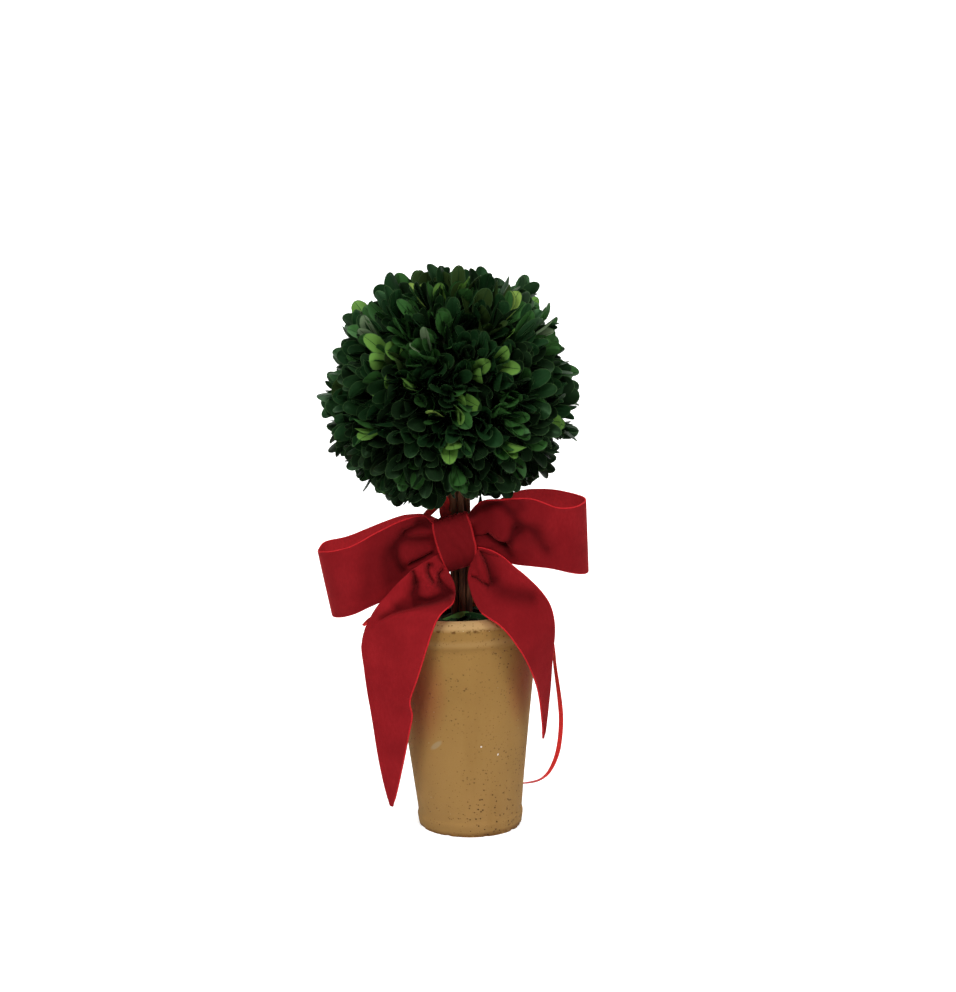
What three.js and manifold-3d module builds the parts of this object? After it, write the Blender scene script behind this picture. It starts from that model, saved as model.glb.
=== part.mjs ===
// A potted dried boxwood tree: a clipped ball of boxwood sprigs on a bundle of twigs, set in a clay pot
// that leans a little, with a velvet bow tied round the twigs by a narrow satin ribbon.
// Millimetres, +Z up, the front faces -Y. The origin is the middle of the pot's flat underside.
import * as THREE from "three";
import { mergeVertices } from "three/addons/utils/BufferGeometryUtils.js";
import Module from "manifold-3d";

const wasm = await Module();
wasm.setup();

// Driving dimensions
const clearance = 0.3; // gap between pieces that touch on the real object
const pot = {
  height: 135,
  baseRadius: 30.9,
  topRadius: 46.4,
  wall: 7.5,
  floor: 9,
  footHeight: 9,
  footProud: 0.5,
  collarHeight: 17,
  collarProud: 1,
  lipDrop: 5.3,
  lean: THREE.MathUtils.degToRad(1.8), // towards -X
  sides: 40,
};
const filling = { top: 121.5, dome: 1.5, socketDepth: 10 };
const mulch = { thickness: 2.6, mound: 5.5, leaves: 34, leafLength: 19, leafWidth: 10, seed: 41 };
const stems = {
  ringCount: 6,
  footRadius: 2.05,
  topRadius: 1.85,
  ringRadius: 4.25,
  footSplay: 0.8,
  splayHeight: 16,
  footX: -4.4,
  topX: -7.2,
  twist: 0.25,
  sides: 8,
  steps: 9,
};
const crown = {
  centre: new THREE.Vector3(-12.2, 0, 267.5),
  reach: new THREE.Vector3(80, 78.5, 78.5), // half sizes out to the leaf tips
  coreShare: 0.735,
  slack: 1.03, // how far a leaf may stand out of the outline, as a share of the reach
  tipShare: [0.97, 1.005], // where the end leaves stop
  stray: 0.16, // how unevenly the sprigs are spread
  sprigs: 66,
  leafLength: 21,
  leafWidth: 13,
  leafThickness: 0.9,
  twigRadius: 1.1,
  stemInside: 26, // how far the stems run up into the ball
  stemRoom: 1.2, // kept free between leaves and stems
  seed: 7,
};
// Space under the ball that the right loop and the tie need
const bowRoom = {
  front: -34,
  back: 14,
  top: 211,
  knotTop: 198,
  rise: 0.7,
  tieX: -20,
  tieY: 3,
  tieRadius: 13,
  tieTop: 197,
};
const ribbon = { width: 42, thickness: 0.9, gather: 0.4, gatherReach: 24, pleat: 2 };
const knot = {
  centre: new THREE.Vector3(-9.5, -14.9, 178.5),
  width: 20.5,
  height: 28,
  depth: 14.4,
  corner: 5.5,
  slant: THREE.MathUtils.degToRad(13), // top edge leans towards -X
};
const loops = {
  left: { side: -1, length: 79.5, halfDepth: 15, droop: 20.5, lean: 12, lift: 2.6, arch: 0 },
  right: { side: 1, length: 77.5, halfDepth: 15, droop: 0.8, lean: 0, lift: 3.6, arch: 3.5 },
}; // droop and lean in degrees
const loopTilt = THREE.MathUtils.degToRad(10.5); // the back layer of a loop stands higher than the front
const tie = { width: 3.4, thickness: 0.5, height: 189 };

// Materials, one for each finish
const clay = new THREE.MeshStandardMaterial({ color: 0xb08552, roughness: 0.9, metalness: 0 });
const foam = new THREE.MeshStandardMaterial({ color: 0x4a3a28, roughness: 1, metalness: 0 });
const bark = new THREE.MeshStandardMaterial({ color: 0x4a2a1c, roughness: 0.85, metalness: 0 });
const leafGreen = new THREE.MeshStandardMaterial({ color: 0x1f4a22, roughness: 0.5, metalness: 0 });
const velvet = new THREE.MeshStandardMaterial({ color: 0x8e1a20, roughness: 0.95, metalness: 0 });
const satin = new THREE.MeshStandardMaterial({ color: 0xb3202a, roughness: 0.4, metalness: 0 });

const tree = new THREE.Group();

// Small helpers
function seededRandom(seed) {
  let state = seed >>> 0;
  return () => {
    state = (state + 0x6d2b79f5) >>> 0;
    let t = Math.imul(state ^ (state >>> 15), 1 | state);
    t = (t + Math.imul(t ^ (t >>> 7), 61 | t)) ^ t;
    return ((t ^ (t >>> 14)) >>> 0) / 4294967296;
  };
}

function solidFrom(geometry) {
  const bare = new THREE.BufferGeometry();
  bare.setAttribute("position", geometry.getAttribute("position"));
  if (geometry.index) bare.setIndex(geometry.index);
  const merged = mergeVertices(bare, 1e-3);
  const corners = merged.index.array;
  const kept = [];
  for (let i = 0; i < corners.length; i += 3) {
    const [a, b, c] = [corners[i], corners[i + 1], corners[i + 2]];
    if (a !== b && b !== c && c !== a) kept.push(a, b, c);
  }
  const vertProperties = new Float32Array(merged.getAttribute("position").array);
  return new wasm.Manifold(
    new wasm.Mesh({ numProp: 3, vertProperties, triVerts: new Uint32Array(kept) }),
  );
}

function geometryFrom(solid) {
  const mesh = solid.getMesh();
  const geometry = new THREE.BufferGeometry();
  geometry.setAttribute("position", new THREE.BufferAttribute(mesh.vertProperties, mesh.numProp));
  geometry.setIndex(new THREE.BufferAttribute(mesh.triVerts, 1));
  geometry.computeVertexNormals();
  return geometry;
}

// The largest body's outer skin: loose scraps are dropped and sealed hollows are filled.
// It is taken twice, the second time from welded corners, so a scrap held by a hair goes too.
function outerSkin(solid) {
  const largest = (bodies) => bodies.reduce((best, body) => (body.volume() > best.volume() ? body : best));
  const skin = largest(solid.simplify(0.01).decompose());
  return largest(solidFrom(geometryFrom(skin)).decompose());
}

function addPiece(name, solid, material) {
  const mesh = new THREE.Mesh(geometryFrom(solid), material);
  mesh.name = name;
  tree.add(mesh);
}

function moveVertices(geometry, rule) {
  const places = geometry.getAttribute("position");
  const vertex = new THREE.Vector3();
  for (let i = 0; i < places.count; i++) {
    vertex.fromBufferAttribute(places, i);
    rule(vertex);
    places.setXYZ(i, vertex.x, vertex.y, vertex.z);
  }
  return geometry;
}

function lathe(profile, sides) {
  const points = profile.map(([radius, height]) => new THREE.Vector2(radius, height));
  return new THREE.LatheGeometry(points, sides).rotateX(Math.PI / 2);
}

// Pot: a straight cone with a low foot, a proud collar and a sloping lip, cut flat at the ground
function outerRadius(z) {
  return pot.baseRadius + ((pot.topRadius - pot.baseRadius) * z) / pot.height;
}

function innerRadius(z) {
  return outerRadius(z) - pot.wall;
}

function potProfile() {
  const collarFoot = pot.height - pot.collarHeight;
  const lip = pot.height - pot.lipDrop;
  const belowGround = -3;
  return [
    [0, belowGround],
    [outerRadius(0) + pot.footProud, belowGround],
    [outerRadius(pot.footHeight) + pot.footProud, pot.footHeight * 0.6],
    [outerRadius(pot.footHeight), pot.footHeight],
    [outerRadius(collarFoot), collarFoot],
    [outerRadius(collarFoot) + pot.collarProud, collarFoot + 2],
    [outerRadius(lip) + pot.collarProud, lip],
    [outerRadius(lip) - 1.6, pot.height - 1.4],
    [outerRadius(lip) - 4.4, pot.height],
    [innerRadius(pot.height), pot.height - 1.2],
    [innerRadius(pot.floor + 2), pot.floor + 2],
    [innerRadius(pot.floor) - 3, pot.floor],
    [0, pot.floor],
  ];
}

function makePot() {
  const leaning = solidFrom(lathe(potProfile(), pot.sides).rotateY(-pot.lean));
  const side = 4 * pot.topRadius;
  const aboveGround = new THREE.BoxGeometry(side, side, 2 * pot.height).translate(0, 0, pot.height);
  addPiece("pot", leaning.intersect(solidFrom(aboveGround)), clay);
}

// Stems: one twig in the middle and a ring round it, splayed a little at the foot
const stemFoot = filling.top - filling.socketDepth;
const stemTop = crown.centre.z - crown.reach.z * crown.coreShare + crown.stemInside;
const bundleRadius = stems.ringRadius + stems.footRadius;

function bundleAxis(z) {
  const share = (z - stemFoot) / (stemTop - stemFoot);
  return new THREE.Vector2(THREE.MathUtils.lerp(stems.footX, stems.topX, share), 0);
}

function stemGeometry(ringIndex) {
  const length = stemTop - stemFoot;
  const { topRadius, footRadius, sides, steps } = stems;
  const twig = new THREE.CylinderGeometry(topRadius, footRadius, length, sides, steps);
  twig.rotateX(Math.PI / 2).translate(0, 0, stemFoot + length / 2);
  return moveVertices(twig, (vertex) => {
    const axis = bundleAxis(vertex.z);
    const share = (vertex.z - stemFoot) / length;
    const splay = stems.footSplay * Math.max(0, 1 - (vertex.z - filling.top) / stems.splayHeight);
    const radius = ringIndex < 0 ? 0 : stems.ringRadius + splay;
    const angle = ((ringIndex + 0.5) / stems.ringCount) * 2 * Math.PI + stems.twist * share;
    vertex.x += axis.x + radius * Math.cos(angle);
    vertex.y += axis.y + radius * Math.sin(angle);
  });
}

function makeStems() {
  addPiece("stem_middle", solidFrom(stemGeometry(-1)), bark);
  for (let i = 0; i < stems.ringCount; i++) addPiece(`stem_${i + 1}`, solidFrom(stemGeometry(i)), bark);
}

function socketFor(low, high, room) {
  const bore = new THREE.CylinderGeometry(bundleRadius + room, bundleRadius + room, high - low, 18);
  bore.rotateX(Math.PI / 2).translate(0, 0, (low + high) / 2);
  return solidFrom(moveVertices(bore, (vertex) => vertex.setX(vertex.x + bundleAxis(vertex.z).x)));
}

// Filling: a plug that follows the pot's inside, with a socket for the stems
function makeFilling() {
  const low = pot.floor + clearance;
  const gap = clearance;
  const plug = lathe(
    [
      [0, low],
      [innerRadius(pot.floor) - 3 - gap, low],
      [innerRadius(pot.floor + 3) - gap, pot.floor + 3],
      [innerRadius(filling.top) - gap, filling.top],
      [innerRadius(filling.top) * 0.5, filling.top + filling.dome * 0.7],
      [0, filling.top + filling.dome],
    ],
    pot.sides,
  ).rotateY(-pot.lean);
  const socket = socketFor(stemFoot - clearance, pot.height, stems.footSplay * 2 + clearance);
  addPiece("filling", solidFrom(plug).subtract(socket), foam);
}

// One leaf: blunt and widest past its middle, lying along +X from its root at 0, its face towards +Z
function leafGeometry(length, width, thickness) {
  const leaf = new THREE.SphereGeometry(1, 6, 2).rotateX(Math.PI / 2);
  return moveVertices(leaf, (vertex) => {
    const along = (vertex.x + 1) / 2;
    const fullness = 0.42 + 0.2 * along;
    const shift = along * (1 - along) * 0.5;
    vertex.set((along + shift) * length, vertex.y * width * fullness, vertex.z * thickness * 0.5);
  });
}

function placeAlong(geometry, root, direction, faceHint) {
  const x = direction.clone().normalize();
  const y = faceHint.clone().cross(x).normalize();
  const z = x.clone().cross(y);
  const turn = new THREE.Matrix4().makeBasis(x, y, z).setPosition(root);
  return geometry.applyMatrix4(turn);
}

function everyVertex(geometry, test) {
  const places = geometry.getAttribute("position");
  const vertex = new THREE.Vector3();
  for (let i = 0; i < places.count; i++) {
    if (!test(vertex.fromBufferAttribute(places, i))) return false;
  }
  return true;
}

// Mulch: a low mound of dried leaves on the filling, clear of the pot and the stems
function makeMulch() {
  const random = seededRandom(mulch.seed);
  const low = filling.top + filling.dome + clearance;
  const inner = bundleRadius + stems.footSplay * 2 + clearance;
  const outer = innerRadius(low) - 4 * clearance;
  const moundAt = (radius) => low + mulch.thickness + mulch.mound * (1 - radius / outer);
  const mat = lathe(
    [
      [inner, low],
      [outer, low],
      [outer, moundAt(outer)],
      [inner, moundAt(inner)],
      [inner, low],
    ],
    24,
  );
  const middle = bundleAxis(low).x;
  mat.translate(middle, 0, 0);
  const pieces = [solidFrom(mat)];
  const clearOfNeighbours = (vertex) => {
    const radius = Math.hypot(vertex.x - middle, vertex.y);
    return radius > inner + 0.2 && radius < outer - 0.2 && vertex.z > low;
  };
  for (let i = 0; i < mulch.leaves; i++) {
    const angle = i * 2.39996 + random();
    const radius = THREE.MathUtils.lerp(inner + 2, outer - 6, random());
    const heading = angle + Math.PI * (random() - 0.5);
    const size = 0.75 + 0.35 * random();
    const leaf = leafGeometry(mulch.leafLength * size, mulch.leafWidth * size, crown.leafThickness);
    const root = new THREE.Vector3(middle + radius * Math.cos(angle), radius * Math.sin(angle), 0);
    root.z = moundAt(radius) - 0.5;
    const direction = new THREE.Vector3(Math.cos(heading), Math.sin(heading), 0.15 + 0.3 * random());
    placeAlong(leaf, root, direction, new THREE.Vector3(0.3 * (random() - 0.5), 0, 1));
    if (everyVertex(leaf, clearOfNeighbours)) pieces.push(solidFrom(leaf));
  }
  addPiece("leaf_mulch", outerSkin(wasm.Manifold.union(pieces)), leafGreen);
}

// Crown: a round core that the sprigs stand out of, each sprig a twig with pairs of leaves and an end leaf
function sprigDirection(index, count, random) {
  const up = 1 - (2 * (index + 0.5)) / count;
  const angle = index * Math.PI * (3 - Math.sqrt(5));
  const flat = Math.sqrt(1 - up * up);
  const direction = new THREE.Vector3(flat * Math.cos(angle), flat * Math.sin(angle), up);
  const stray = new THREE.Vector3(random() - 0.5, random() - 0.5, random() - 0.5);
  return direction.addScaledVector(stray, crown.stray).normalize();
}

// 1 on the ball's outline, less inside it
function crownShare(offset) {
  const { reach } = crown;
  return Math.hypot(offset.x / reach.x, offset.y / reach.y, offset.z / reach.z);
}

function reachAlong(direction) {
  return 1 / crownShare(direction);
}

function insideCrown(vertex) {
  const share = crownShare(vertex.clone().sub(crown.centre));
  const fromStems = Math.hypot(vertex.x - bundleAxis(vertex.z).x, vertex.y);
  return share <= crown.slack && fromStems > bundleRadius + crown.stemRoom && clearOfBow(vertex);
}

function clearOfBow({ x, y, z }) {
  const loopTop = Math.min(bowRoom.top, bowRoom.knotTop + bowRoom.rise * x);
  const nearLoop = y > bowRoom.front && y < bowRoom.back && x > 0 && z < loopTop;
  const fromTie = Math.hypot(x - bowRoom.tieX, y - bowRoom.tieY);
  const nearTie = fromTie < bowRoom.tieRadius && z < bowRoom.tieTop;
  return !nearLoop && !nearTie;
}

function sprigPieces(direction, random) {
  const spread = crown.leafLength;
  const fullReach = reachAlong(direction);
  const tipReach = fullReach * THREE.MathUtils.lerp(...crown.tipShare, random());
  const root = crown.centre.clone().addScaledVector(direction, fullReach * crown.coreShare * 0.86);
  const end = crown.centre.clone().addScaledVector(direction, tipReach - spread);
  const stray = new THREE.Vector3(random() - 0.5, random() - 0.5, random() - 0.5);
  const side = stray.cross(direction).normalize();
  const other = side.clone().cross(direction);
  const length = end.distanceTo(root);
  const twig = new THREE.CylinderGeometry(crown.twigRadius * 0.7, crown.twigRadius, length, 3);
  twig.rotateZ(-Math.PI / 2).translate(length / 2, 0, 0);
  const pieces = [placeAlong(twig, root, direction, side)];
  const addLeaf = (along, outward, angle, size) => {
    const [ahead, aside] = [Math.cos(angle), Math.sin(angle)];
    const heading = direction.clone().multiplyScalar(ahead).addScaledVector(outward, aside);
    const face = direction.clone().multiplyScalar(aside).addScaledVector(outward, -ahead);
    const leaf = leafGeometry(spread * size, crown.leafWidth * size, crown.leafThickness);
    pieces.push(placeAlong(leaf, root.clone().lerp(end, along), heading, face));
  };
  const startAngle = 0.7 + 0.2 * random();
  addLeaf(1, side, 0, 1);
  for (const sign of [1, -1]) {
    addLeaf(0.95, other.clone().multiplyScalar(sign), startAngle, 0.84 + 0.1 * random());
    addLeaf(0.6, side.clone().multiplyScalar(sign), startAngle + 0.45, 0.9 + 0.15 * random());
  }
  return pieces.filter((piece) => everyVertex(piece, insideCrown));
}

function makeCrown() {
  const random = seededRandom(crown.seed);
  const core = new THREE.IcosahedronGeometry(1, 3);
  moveVertices(core, (vertex) => {
    vertex.multiplyScalar(reachAlong(vertex) * crown.coreShare).add(crown.centre);
  });
  const pieces = [solidFrom(core)];
  for (let i = 0; i < crown.sprigs; i++) {
    const direction = sprigDirection(i, crown.sprigs, random);
    sprigPieces(direction, random).forEach((piece) => pieces.push(solidFrom(piece)));
  }
  const socket = socketFor(0, stemTop + clearance, 2 * clearance);
  addPiece("crown", outerSkin(wasm.Manifold.union(pieces).subtract(socket)), leafGreen);
}

// A band of ribbon: a flat box wrapped on a surface(u along, v across), thickness laid along its normal
function ribbonSolid(surface, lengthSteps, widthSteps, thickness) {
  const band = new THREE.BoxGeometry(1, 1, 1, lengthSteps, widthSteps, 1);
  const step = 1e-3;
  moveVertices(band, (vertex) => {
    const u = THREE.MathUtils.clamp(vertex.x + 0.5, step, 1 - step);
    const v = vertex.y;
    const along = surface(u + step, v).sub(surface(u - step, v));
    const across = surface(u, v + step).sub(surface(u, v - step));
    const normal = along.cross(across).normalize();
    vertex.copy(surface(vertex.x + 0.5, v).addScaledVector(normal, vertex.z * thickness));
  });
  return solidFrom(band);
}

// A bow loop: the ribbon leaves the knot, swells out to a round end and comes back behind itself
function loopSurface({ side, length, halfDepth, droop, lean, lift, arch }) {
  const drop = THREE.MathUtils.degToRad(droop);
  const turn = THREE.MathUtils.degToRad(lean);
  const out = new THREE.Vector3(side * Math.cos(drop), 0, -Math.sin(drop));
  const back = new THREE.Vector3(0, Math.cos(loopTilt), Math.sin(loopTilt));
  const up = new THREE.Vector3(side * Math.sin(turn), 0, Math.cos(turn));
  up.addScaledVector(back, -Math.sin(loopTilt)).normalize();
  const start = knot.centre.clone().add(new THREE.Vector3(side * 1.9, 0, lift));
  const layerGap = 1.3;
  return (u, v) => {
    const reach = length * Math.sin(Math.PI * u);
    const fromKnot = reach - knot.width * 0.4;
    const open = THREE.MathUtils.smoothstep(fromKnot, 0, ribbon.gatherReach);
    const fullness = halfDepth * THREE.MathUtils.lerp(0.3, 1, open);
    const swell = fullness * Math.sin(2 * Math.PI * u) + layerGap * Math.cos(Math.PI * u);
    const rise = arch * Math.sin((Math.PI * reach) / length);
    const width = ribbon.width * THREE.MathUtils.lerp(ribbon.gather, 1, open);
    const pleat = ribbon.pleat * (1 - open) * Math.cos(3 * Math.PI * v);
    return start
      .clone()
      .addScaledVector(out, reach)
      .addScaledVector(back, pleat - swell)
      .addScaledVector(up, v * width + rise);
  };
}

function makeLoops() {
  addPiece("bow_loop_left", ribbonSolid(loopSurface(loops.left), 26, 6, ribbon.thickness), velvet);
  addPiece("bow_loop_right", ribbonSolid(loopSurface(loops.right), 26, 6, ribbon.thickness), velvet);
}

// The knot: a short band of the same ribbon round the gathered middle
function roundedOutline(Kind, halfWidth, halfHeight, corner) {
  const outline = new Kind();
  const turns = [
    [1, 1, 0],
    [-1, 1, 1],
    [-1, -1, 2],
    [1, -1, 3],
  ];
  for (const [sx, sy, quarter] of turns) {
    const from = (quarter * Math.PI) / 2;
    outline.absarc(sx * (halfWidth - corner), sy * (halfHeight - corner), corner, from, from + Math.PI / 2);
  }
  outline.closePath();
  return outline;
}

function makeKnot() {
  const { width, height, depth, corner, slant, centre } = knot;
  const inside = ribbon.thickness;
  const shape = roundedOutline(THREE.Shape, depth / 2, height / 2, corner);
  shape.holes.push(
    roundedOutline(THREE.Path, depth / 2 - inside, height / 2 - inside, corner - inside),
  );
  const band = new THREE.ExtrudeGeometry(shape, { depth: width, bevelEnabled: false, curveSegments: 4 });
  band.translate(0, 0, -width / 2).rotateX(Math.PI / 2).rotateZ(Math.PI / 2);
  band.rotateY(-slant).translate(centre.x, centre.y, centre.z);
  addPiece("bow_knot", solidFrom(band), velvet);
}

// Tails: each hangs from the knot between an outer and an inner edge, and ends in a long slanting cut
const tailEdges = {
  left: {
    outer: [[-13, -11.5, 166.8], [-18.2, -14, 165.6], [-23, -24.5, 163], [-32, -31.5, 158.5],
      [-46, -34.5, 148], [-58.5, -33.5, 138], [-64.2, -30, 121], [-60.4, -28, 88], [-54.2, -27, 44],
      [-48.4, -27, 18.6]],
    inner: [[-13, -18, 166], [-17.8, -18.6, 164.6], [-15.6, -24.6, 160.4], [-9.6, -32, 152.6],
      [-9.8, -42, 145.5], [-17, -49, 140], [-26, -51, 119.5], [-34.8, -45.5, 86], [-38.4, -36, 48],
      [-46.6, -28.4, 18.2]],
  },
  right: {
    outer: [[-4, -11.8, 170.6], [4.8, -13.2, 170.5], [11, -16, 167.2], [20, -20, 163], [30, -26.5, 159.8],
      [41.2, -32, 152.6], [49.4, -32, 135], [50, -28, 108], [47.4, -26, 82], [45, -24, 59.8]],
    inner: [[-4, -17.8, 170], [4.8, -18.2, 169.4], [3.4, -24, 162.6], [-0.8, -31, 153.8], [5.5, -43, 143.8],
      [16, -51, 138.4], [25.5, -50.5, 123], [36.8, -43.5, 102], [42.6, -33, 80], [43.9, -25, 59.2]],
  },
};

function curveThrough(points) {
  return new THREE.CatmullRomCurve3(points.map((point) => new THREE.Vector3(...point)));
}

function tailSurface({ outer, inner }) {
  const outerEdge = curveThrough(outer);
  const innerEdge = curveThrough(inner);
  return (u, v) => outerEdge.getPoint(u).lerp(innerEdge.getPoint(u), v + 0.5);
}

function makeTails() {
  for (const side of ["left", "right"]) {
    const surface = tailSurface(tailEdges[side]);
    addPiece(`bow_tail_${side}`, ribbonSolid(surface, 18, 3, ribbon.thickness), velvet);
  }
}

// The tie: a narrow ribbon round the stems behind the knot, with two loose ends
const tieEnds = {
  left: [[-14.8, -1, 189], [-17.6, 0, 193.2], [-22, 2.4, 193.2], [-28, 6, 187], [-40, 15, 169],
    [-49, 8, 149], [-56, -8, 135], [-61.5, -15, 129.6], [-65, -18.5, 126.2]],
  right: [[1.5, 2.4, 187.5], [12, 14, 181], [29, 19, 164], [42, 14, 141], [47.8, 5, 119], [51.2, 1, 96],
    [55, 1, 74], [56.2, 1, 58], [54.4, 1.6, 44], [49.4, 3, 31.6], [43.4, 5, 25], [36, 11, 21]],
};

function narrowRibbon(points) {
  const path = curveThrough(points);
  const front = new THREE.Vector3(0, -1, 0);
  return (u, v) => {
    const across = path.getTangent(THREE.MathUtils.clamp(u, 0, 1)).cross(front).normalize();
    return path.getPoint(THREE.MathUtils.clamp(u, 0, 1)).addScaledVector(across, v * tie.width);
  };
}

function makeTie() {
  const inner = bundleRadius + clearance;
  const ring = lathe(
    [
      [inner, 0],
      [inner + tie.thickness, 0],
      [inner + tie.thickness, tie.width],
      [inner, tie.width],
      [inner, 0],
    ],
    24,
  ).translate(bundleAxis(tie.height).x, 0, tie.height - tie.width / 2);
  addPiece("tie_ring", solidFrom(ring), satin);
  addPiece("tie_end_left", ribbonSolid(narrowRibbon(tieEnds.left), 24, 1, tie.thickness), satin);
  addPiece("tie_end_right", ribbonSolid(narrowRibbon(tieEnds.right), 32, 1, tie.thickness), satin);
}

makePot();
makeFilling();
makeMulch();
makeStems();
makeCrown();
makeLoops();
makeKnot();
makeTails();
makeTie();

export default tree;
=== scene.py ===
import bpy
import math
import numpy as np
from mathutils import Matrix, Vector, noise


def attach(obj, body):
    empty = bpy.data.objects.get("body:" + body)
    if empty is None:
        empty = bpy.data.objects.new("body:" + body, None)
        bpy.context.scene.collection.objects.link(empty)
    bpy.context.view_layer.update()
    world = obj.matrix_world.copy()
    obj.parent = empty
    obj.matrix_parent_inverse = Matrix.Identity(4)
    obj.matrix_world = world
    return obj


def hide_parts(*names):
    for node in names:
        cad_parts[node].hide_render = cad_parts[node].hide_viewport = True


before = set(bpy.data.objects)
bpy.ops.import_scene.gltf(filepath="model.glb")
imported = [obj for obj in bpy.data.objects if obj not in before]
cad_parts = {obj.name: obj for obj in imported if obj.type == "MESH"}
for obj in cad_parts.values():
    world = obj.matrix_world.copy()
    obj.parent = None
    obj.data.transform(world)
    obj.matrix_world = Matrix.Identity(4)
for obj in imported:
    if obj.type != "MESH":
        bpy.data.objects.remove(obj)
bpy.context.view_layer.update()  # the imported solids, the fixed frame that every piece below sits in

mm = 0.001  # sizes below are in millimetres, meshes in metres
print("frame loaded:", len(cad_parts), "nodes")


def deselectAll():
    if bpy.context.object and bpy.context.object.mode != "OBJECT":
        leaveEdit()
    bpy.ops.object.select_all(action="DESELECT")


def makeActive(piece):
    deselectAll()
    piece.select_set(True)
    bpy.context.view_layer.objects.active = piece


def leaveEdit():
    bpy.ops.object.mode_set(mode="OBJECT")


def editAll():  # edit mode, with everything selected
    bpy.ops.object.mode_set(mode="EDIT")
    bpy.ops.mesh.select_all(action="SELECT")


def editEdges(piece, test):  # edit mode, with only the edges whose two ends pass the test
    bpy.ops.object.mode_set(mode="EDIT")
    bpy.ops.mesh.select_mode(type="EDGE")
    bpy.ops.mesh.select_all(action="DESELECT")
    leaveEdit()
    for edge in piece.data.edges:
        edge.select = test(*(piece.data.vertices[i].co for i in edge.vertices))
    bpy.ops.object.mode_set(mode="EDIT")


def extrudeUp(height):
    bpy.ops.mesh.extrude_region_move(TRANSFORM_OT_translate={"value": (0, 0, height)})


def extrudeRing(rise, share):  # raises the selected ring and draws it in or out
    extrudeUp(rise * mm)
    bpy.ops.transform.resize(value=(share, share, 1))


def faceOutwards():
    bpy.ops.mesh.select_all(action="SELECT")
    bpy.ops.mesh.normals_make_consistent(inside=False)
    leaveEdit()


def applyModifiers(piece):
    makeActive(piece)
    for modifier in list(piece.modifiers):
        bpy.ops.object.modifier_apply(modifier=modifier.name)


def smoothen(piece, levels):
    finer = piece.modifiers.new("finer", "SUBSURF")
    finer.levels = finer.render_levels = levels
    applyModifiers(piece)


def smoothShade(piece, degrees=60):
    makeActive(piece)
    bpy.ops.object.shade_smooth_by_angle(angle=math.radians(degrees))


def settle(piece, name, material, slot, *nodes):  # name it, paint it and tie it to the frame
    piece.name = name
    piece.data.name = name
    if material:
        piece.data.materials.append(material)
    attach(piece, "root")
    if nodes:
        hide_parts(*nodes)


def vertexArray(piece):
    places = np.empty(len(piece.data.vertices) * 3)
    piece.data.vertices.foreach_get("co", places)
    return places.reshape(-1, 3)


def setVertices(piece, places):
    piece.data.vertices.foreach_set("co", np.ascontiguousarray(places, dtype=np.float32).ravel())
    piece.data.update()


def meshFromArrays(name, points, faces):  # many small things, joined in one mesh
    mesh = bpy.data.meshes.new(name)
    mesh.from_pydata(np.concatenate(points).tolist(), [], np.concatenate(faces).tolist())
    mesh.update()
    piece = bpy.data.objects.new(name, mesh)
    bpy.context.collection.objects.link(piece)
    return piece


def unit(vectors):
    return vectors / np.maximum(np.linalg.norm(vectors, axis=-1, keepdims=True), 1e-9)


def smoothPath(points, t):  # a smooth curve through given points, t from 0 to 1
    points = np.asarray(points, float)
    last = len(points) - 1
    place = np.clip(t, 0, 1) * last
    i = np.clip(place.astype(int), 0, last - 1)
    f = (place - i)[:, None]
    before = np.where((i > 0)[:, None], points[np.maximum(i - 1, 0)], 2 * points[0] - points[1])
    after = np.where((i < last - 1)[:, None], points[np.minimum(i + 2, last)], 2 * points[-1] - points[-2])
    a, b = points[i], points[i + 1]
    return 0.5 * (2 * a + (b - before) * f + (2 * before - 5 * a + 4 * b - after) * f**2
                  + (3 * a - before - 3 * b + after) * f**3)


def smoothStep(value, low, high):
    t = np.clip((value - low) / (high - low), 0, 1)
    return t * t * (3 - 2 * t)


def curveThrough(points, x):  # a smooth height through given places along a line
    xs, ys = np.array(points, float).T
    slopes = np.gradient(ys, xs)
    i = np.clip(np.searchsorted(xs, x) - 1, 0, len(xs) - 2)
    gap = xs[i + 1] - xs[i]
    t = np.clip((x - xs[i]) / gap, 0, 1)
    start = (1 + 2 * t) * (1 - t) ** 2 * ys[i] + t * (1 - t) ** 2 * gap * slopes[i]
    end = t * t * (3 - 2 * t) * ys[i + 1] - t * t * (1 - t) * gap * slopes[i + 1]
    return start + end


def alongSpan(values, t):  # values spaced evenly from t = 0 to t = 1
    return np.interp(t, np.linspace(0, 1, len(values)), values)


def awayFrom(path, x, y):  # distance to a line of given points, and how far to its left
    nearest, leftward = np.full(x.shape, 1e9), np.zeros(x.shape)
    for (ax, ay), (bx, by) in zip(path, path[1:]):
        runX, runY = bx - ax, by - ay
        run = math.hypot(runX, runY)
        t = np.clip(((x - ax) * runX + (y - ay) * runY) / run**2, 0, 1)
        distance = np.hypot(x - ax - t * runX, y - ay - t * runY)
        leftward = np.where(distance < nearest, (runX * (y - ay) - runY * (x - ax)) / run, leftward)
        nearest = np.minimum(nearest, distance)
    return nearest, leftward


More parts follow.
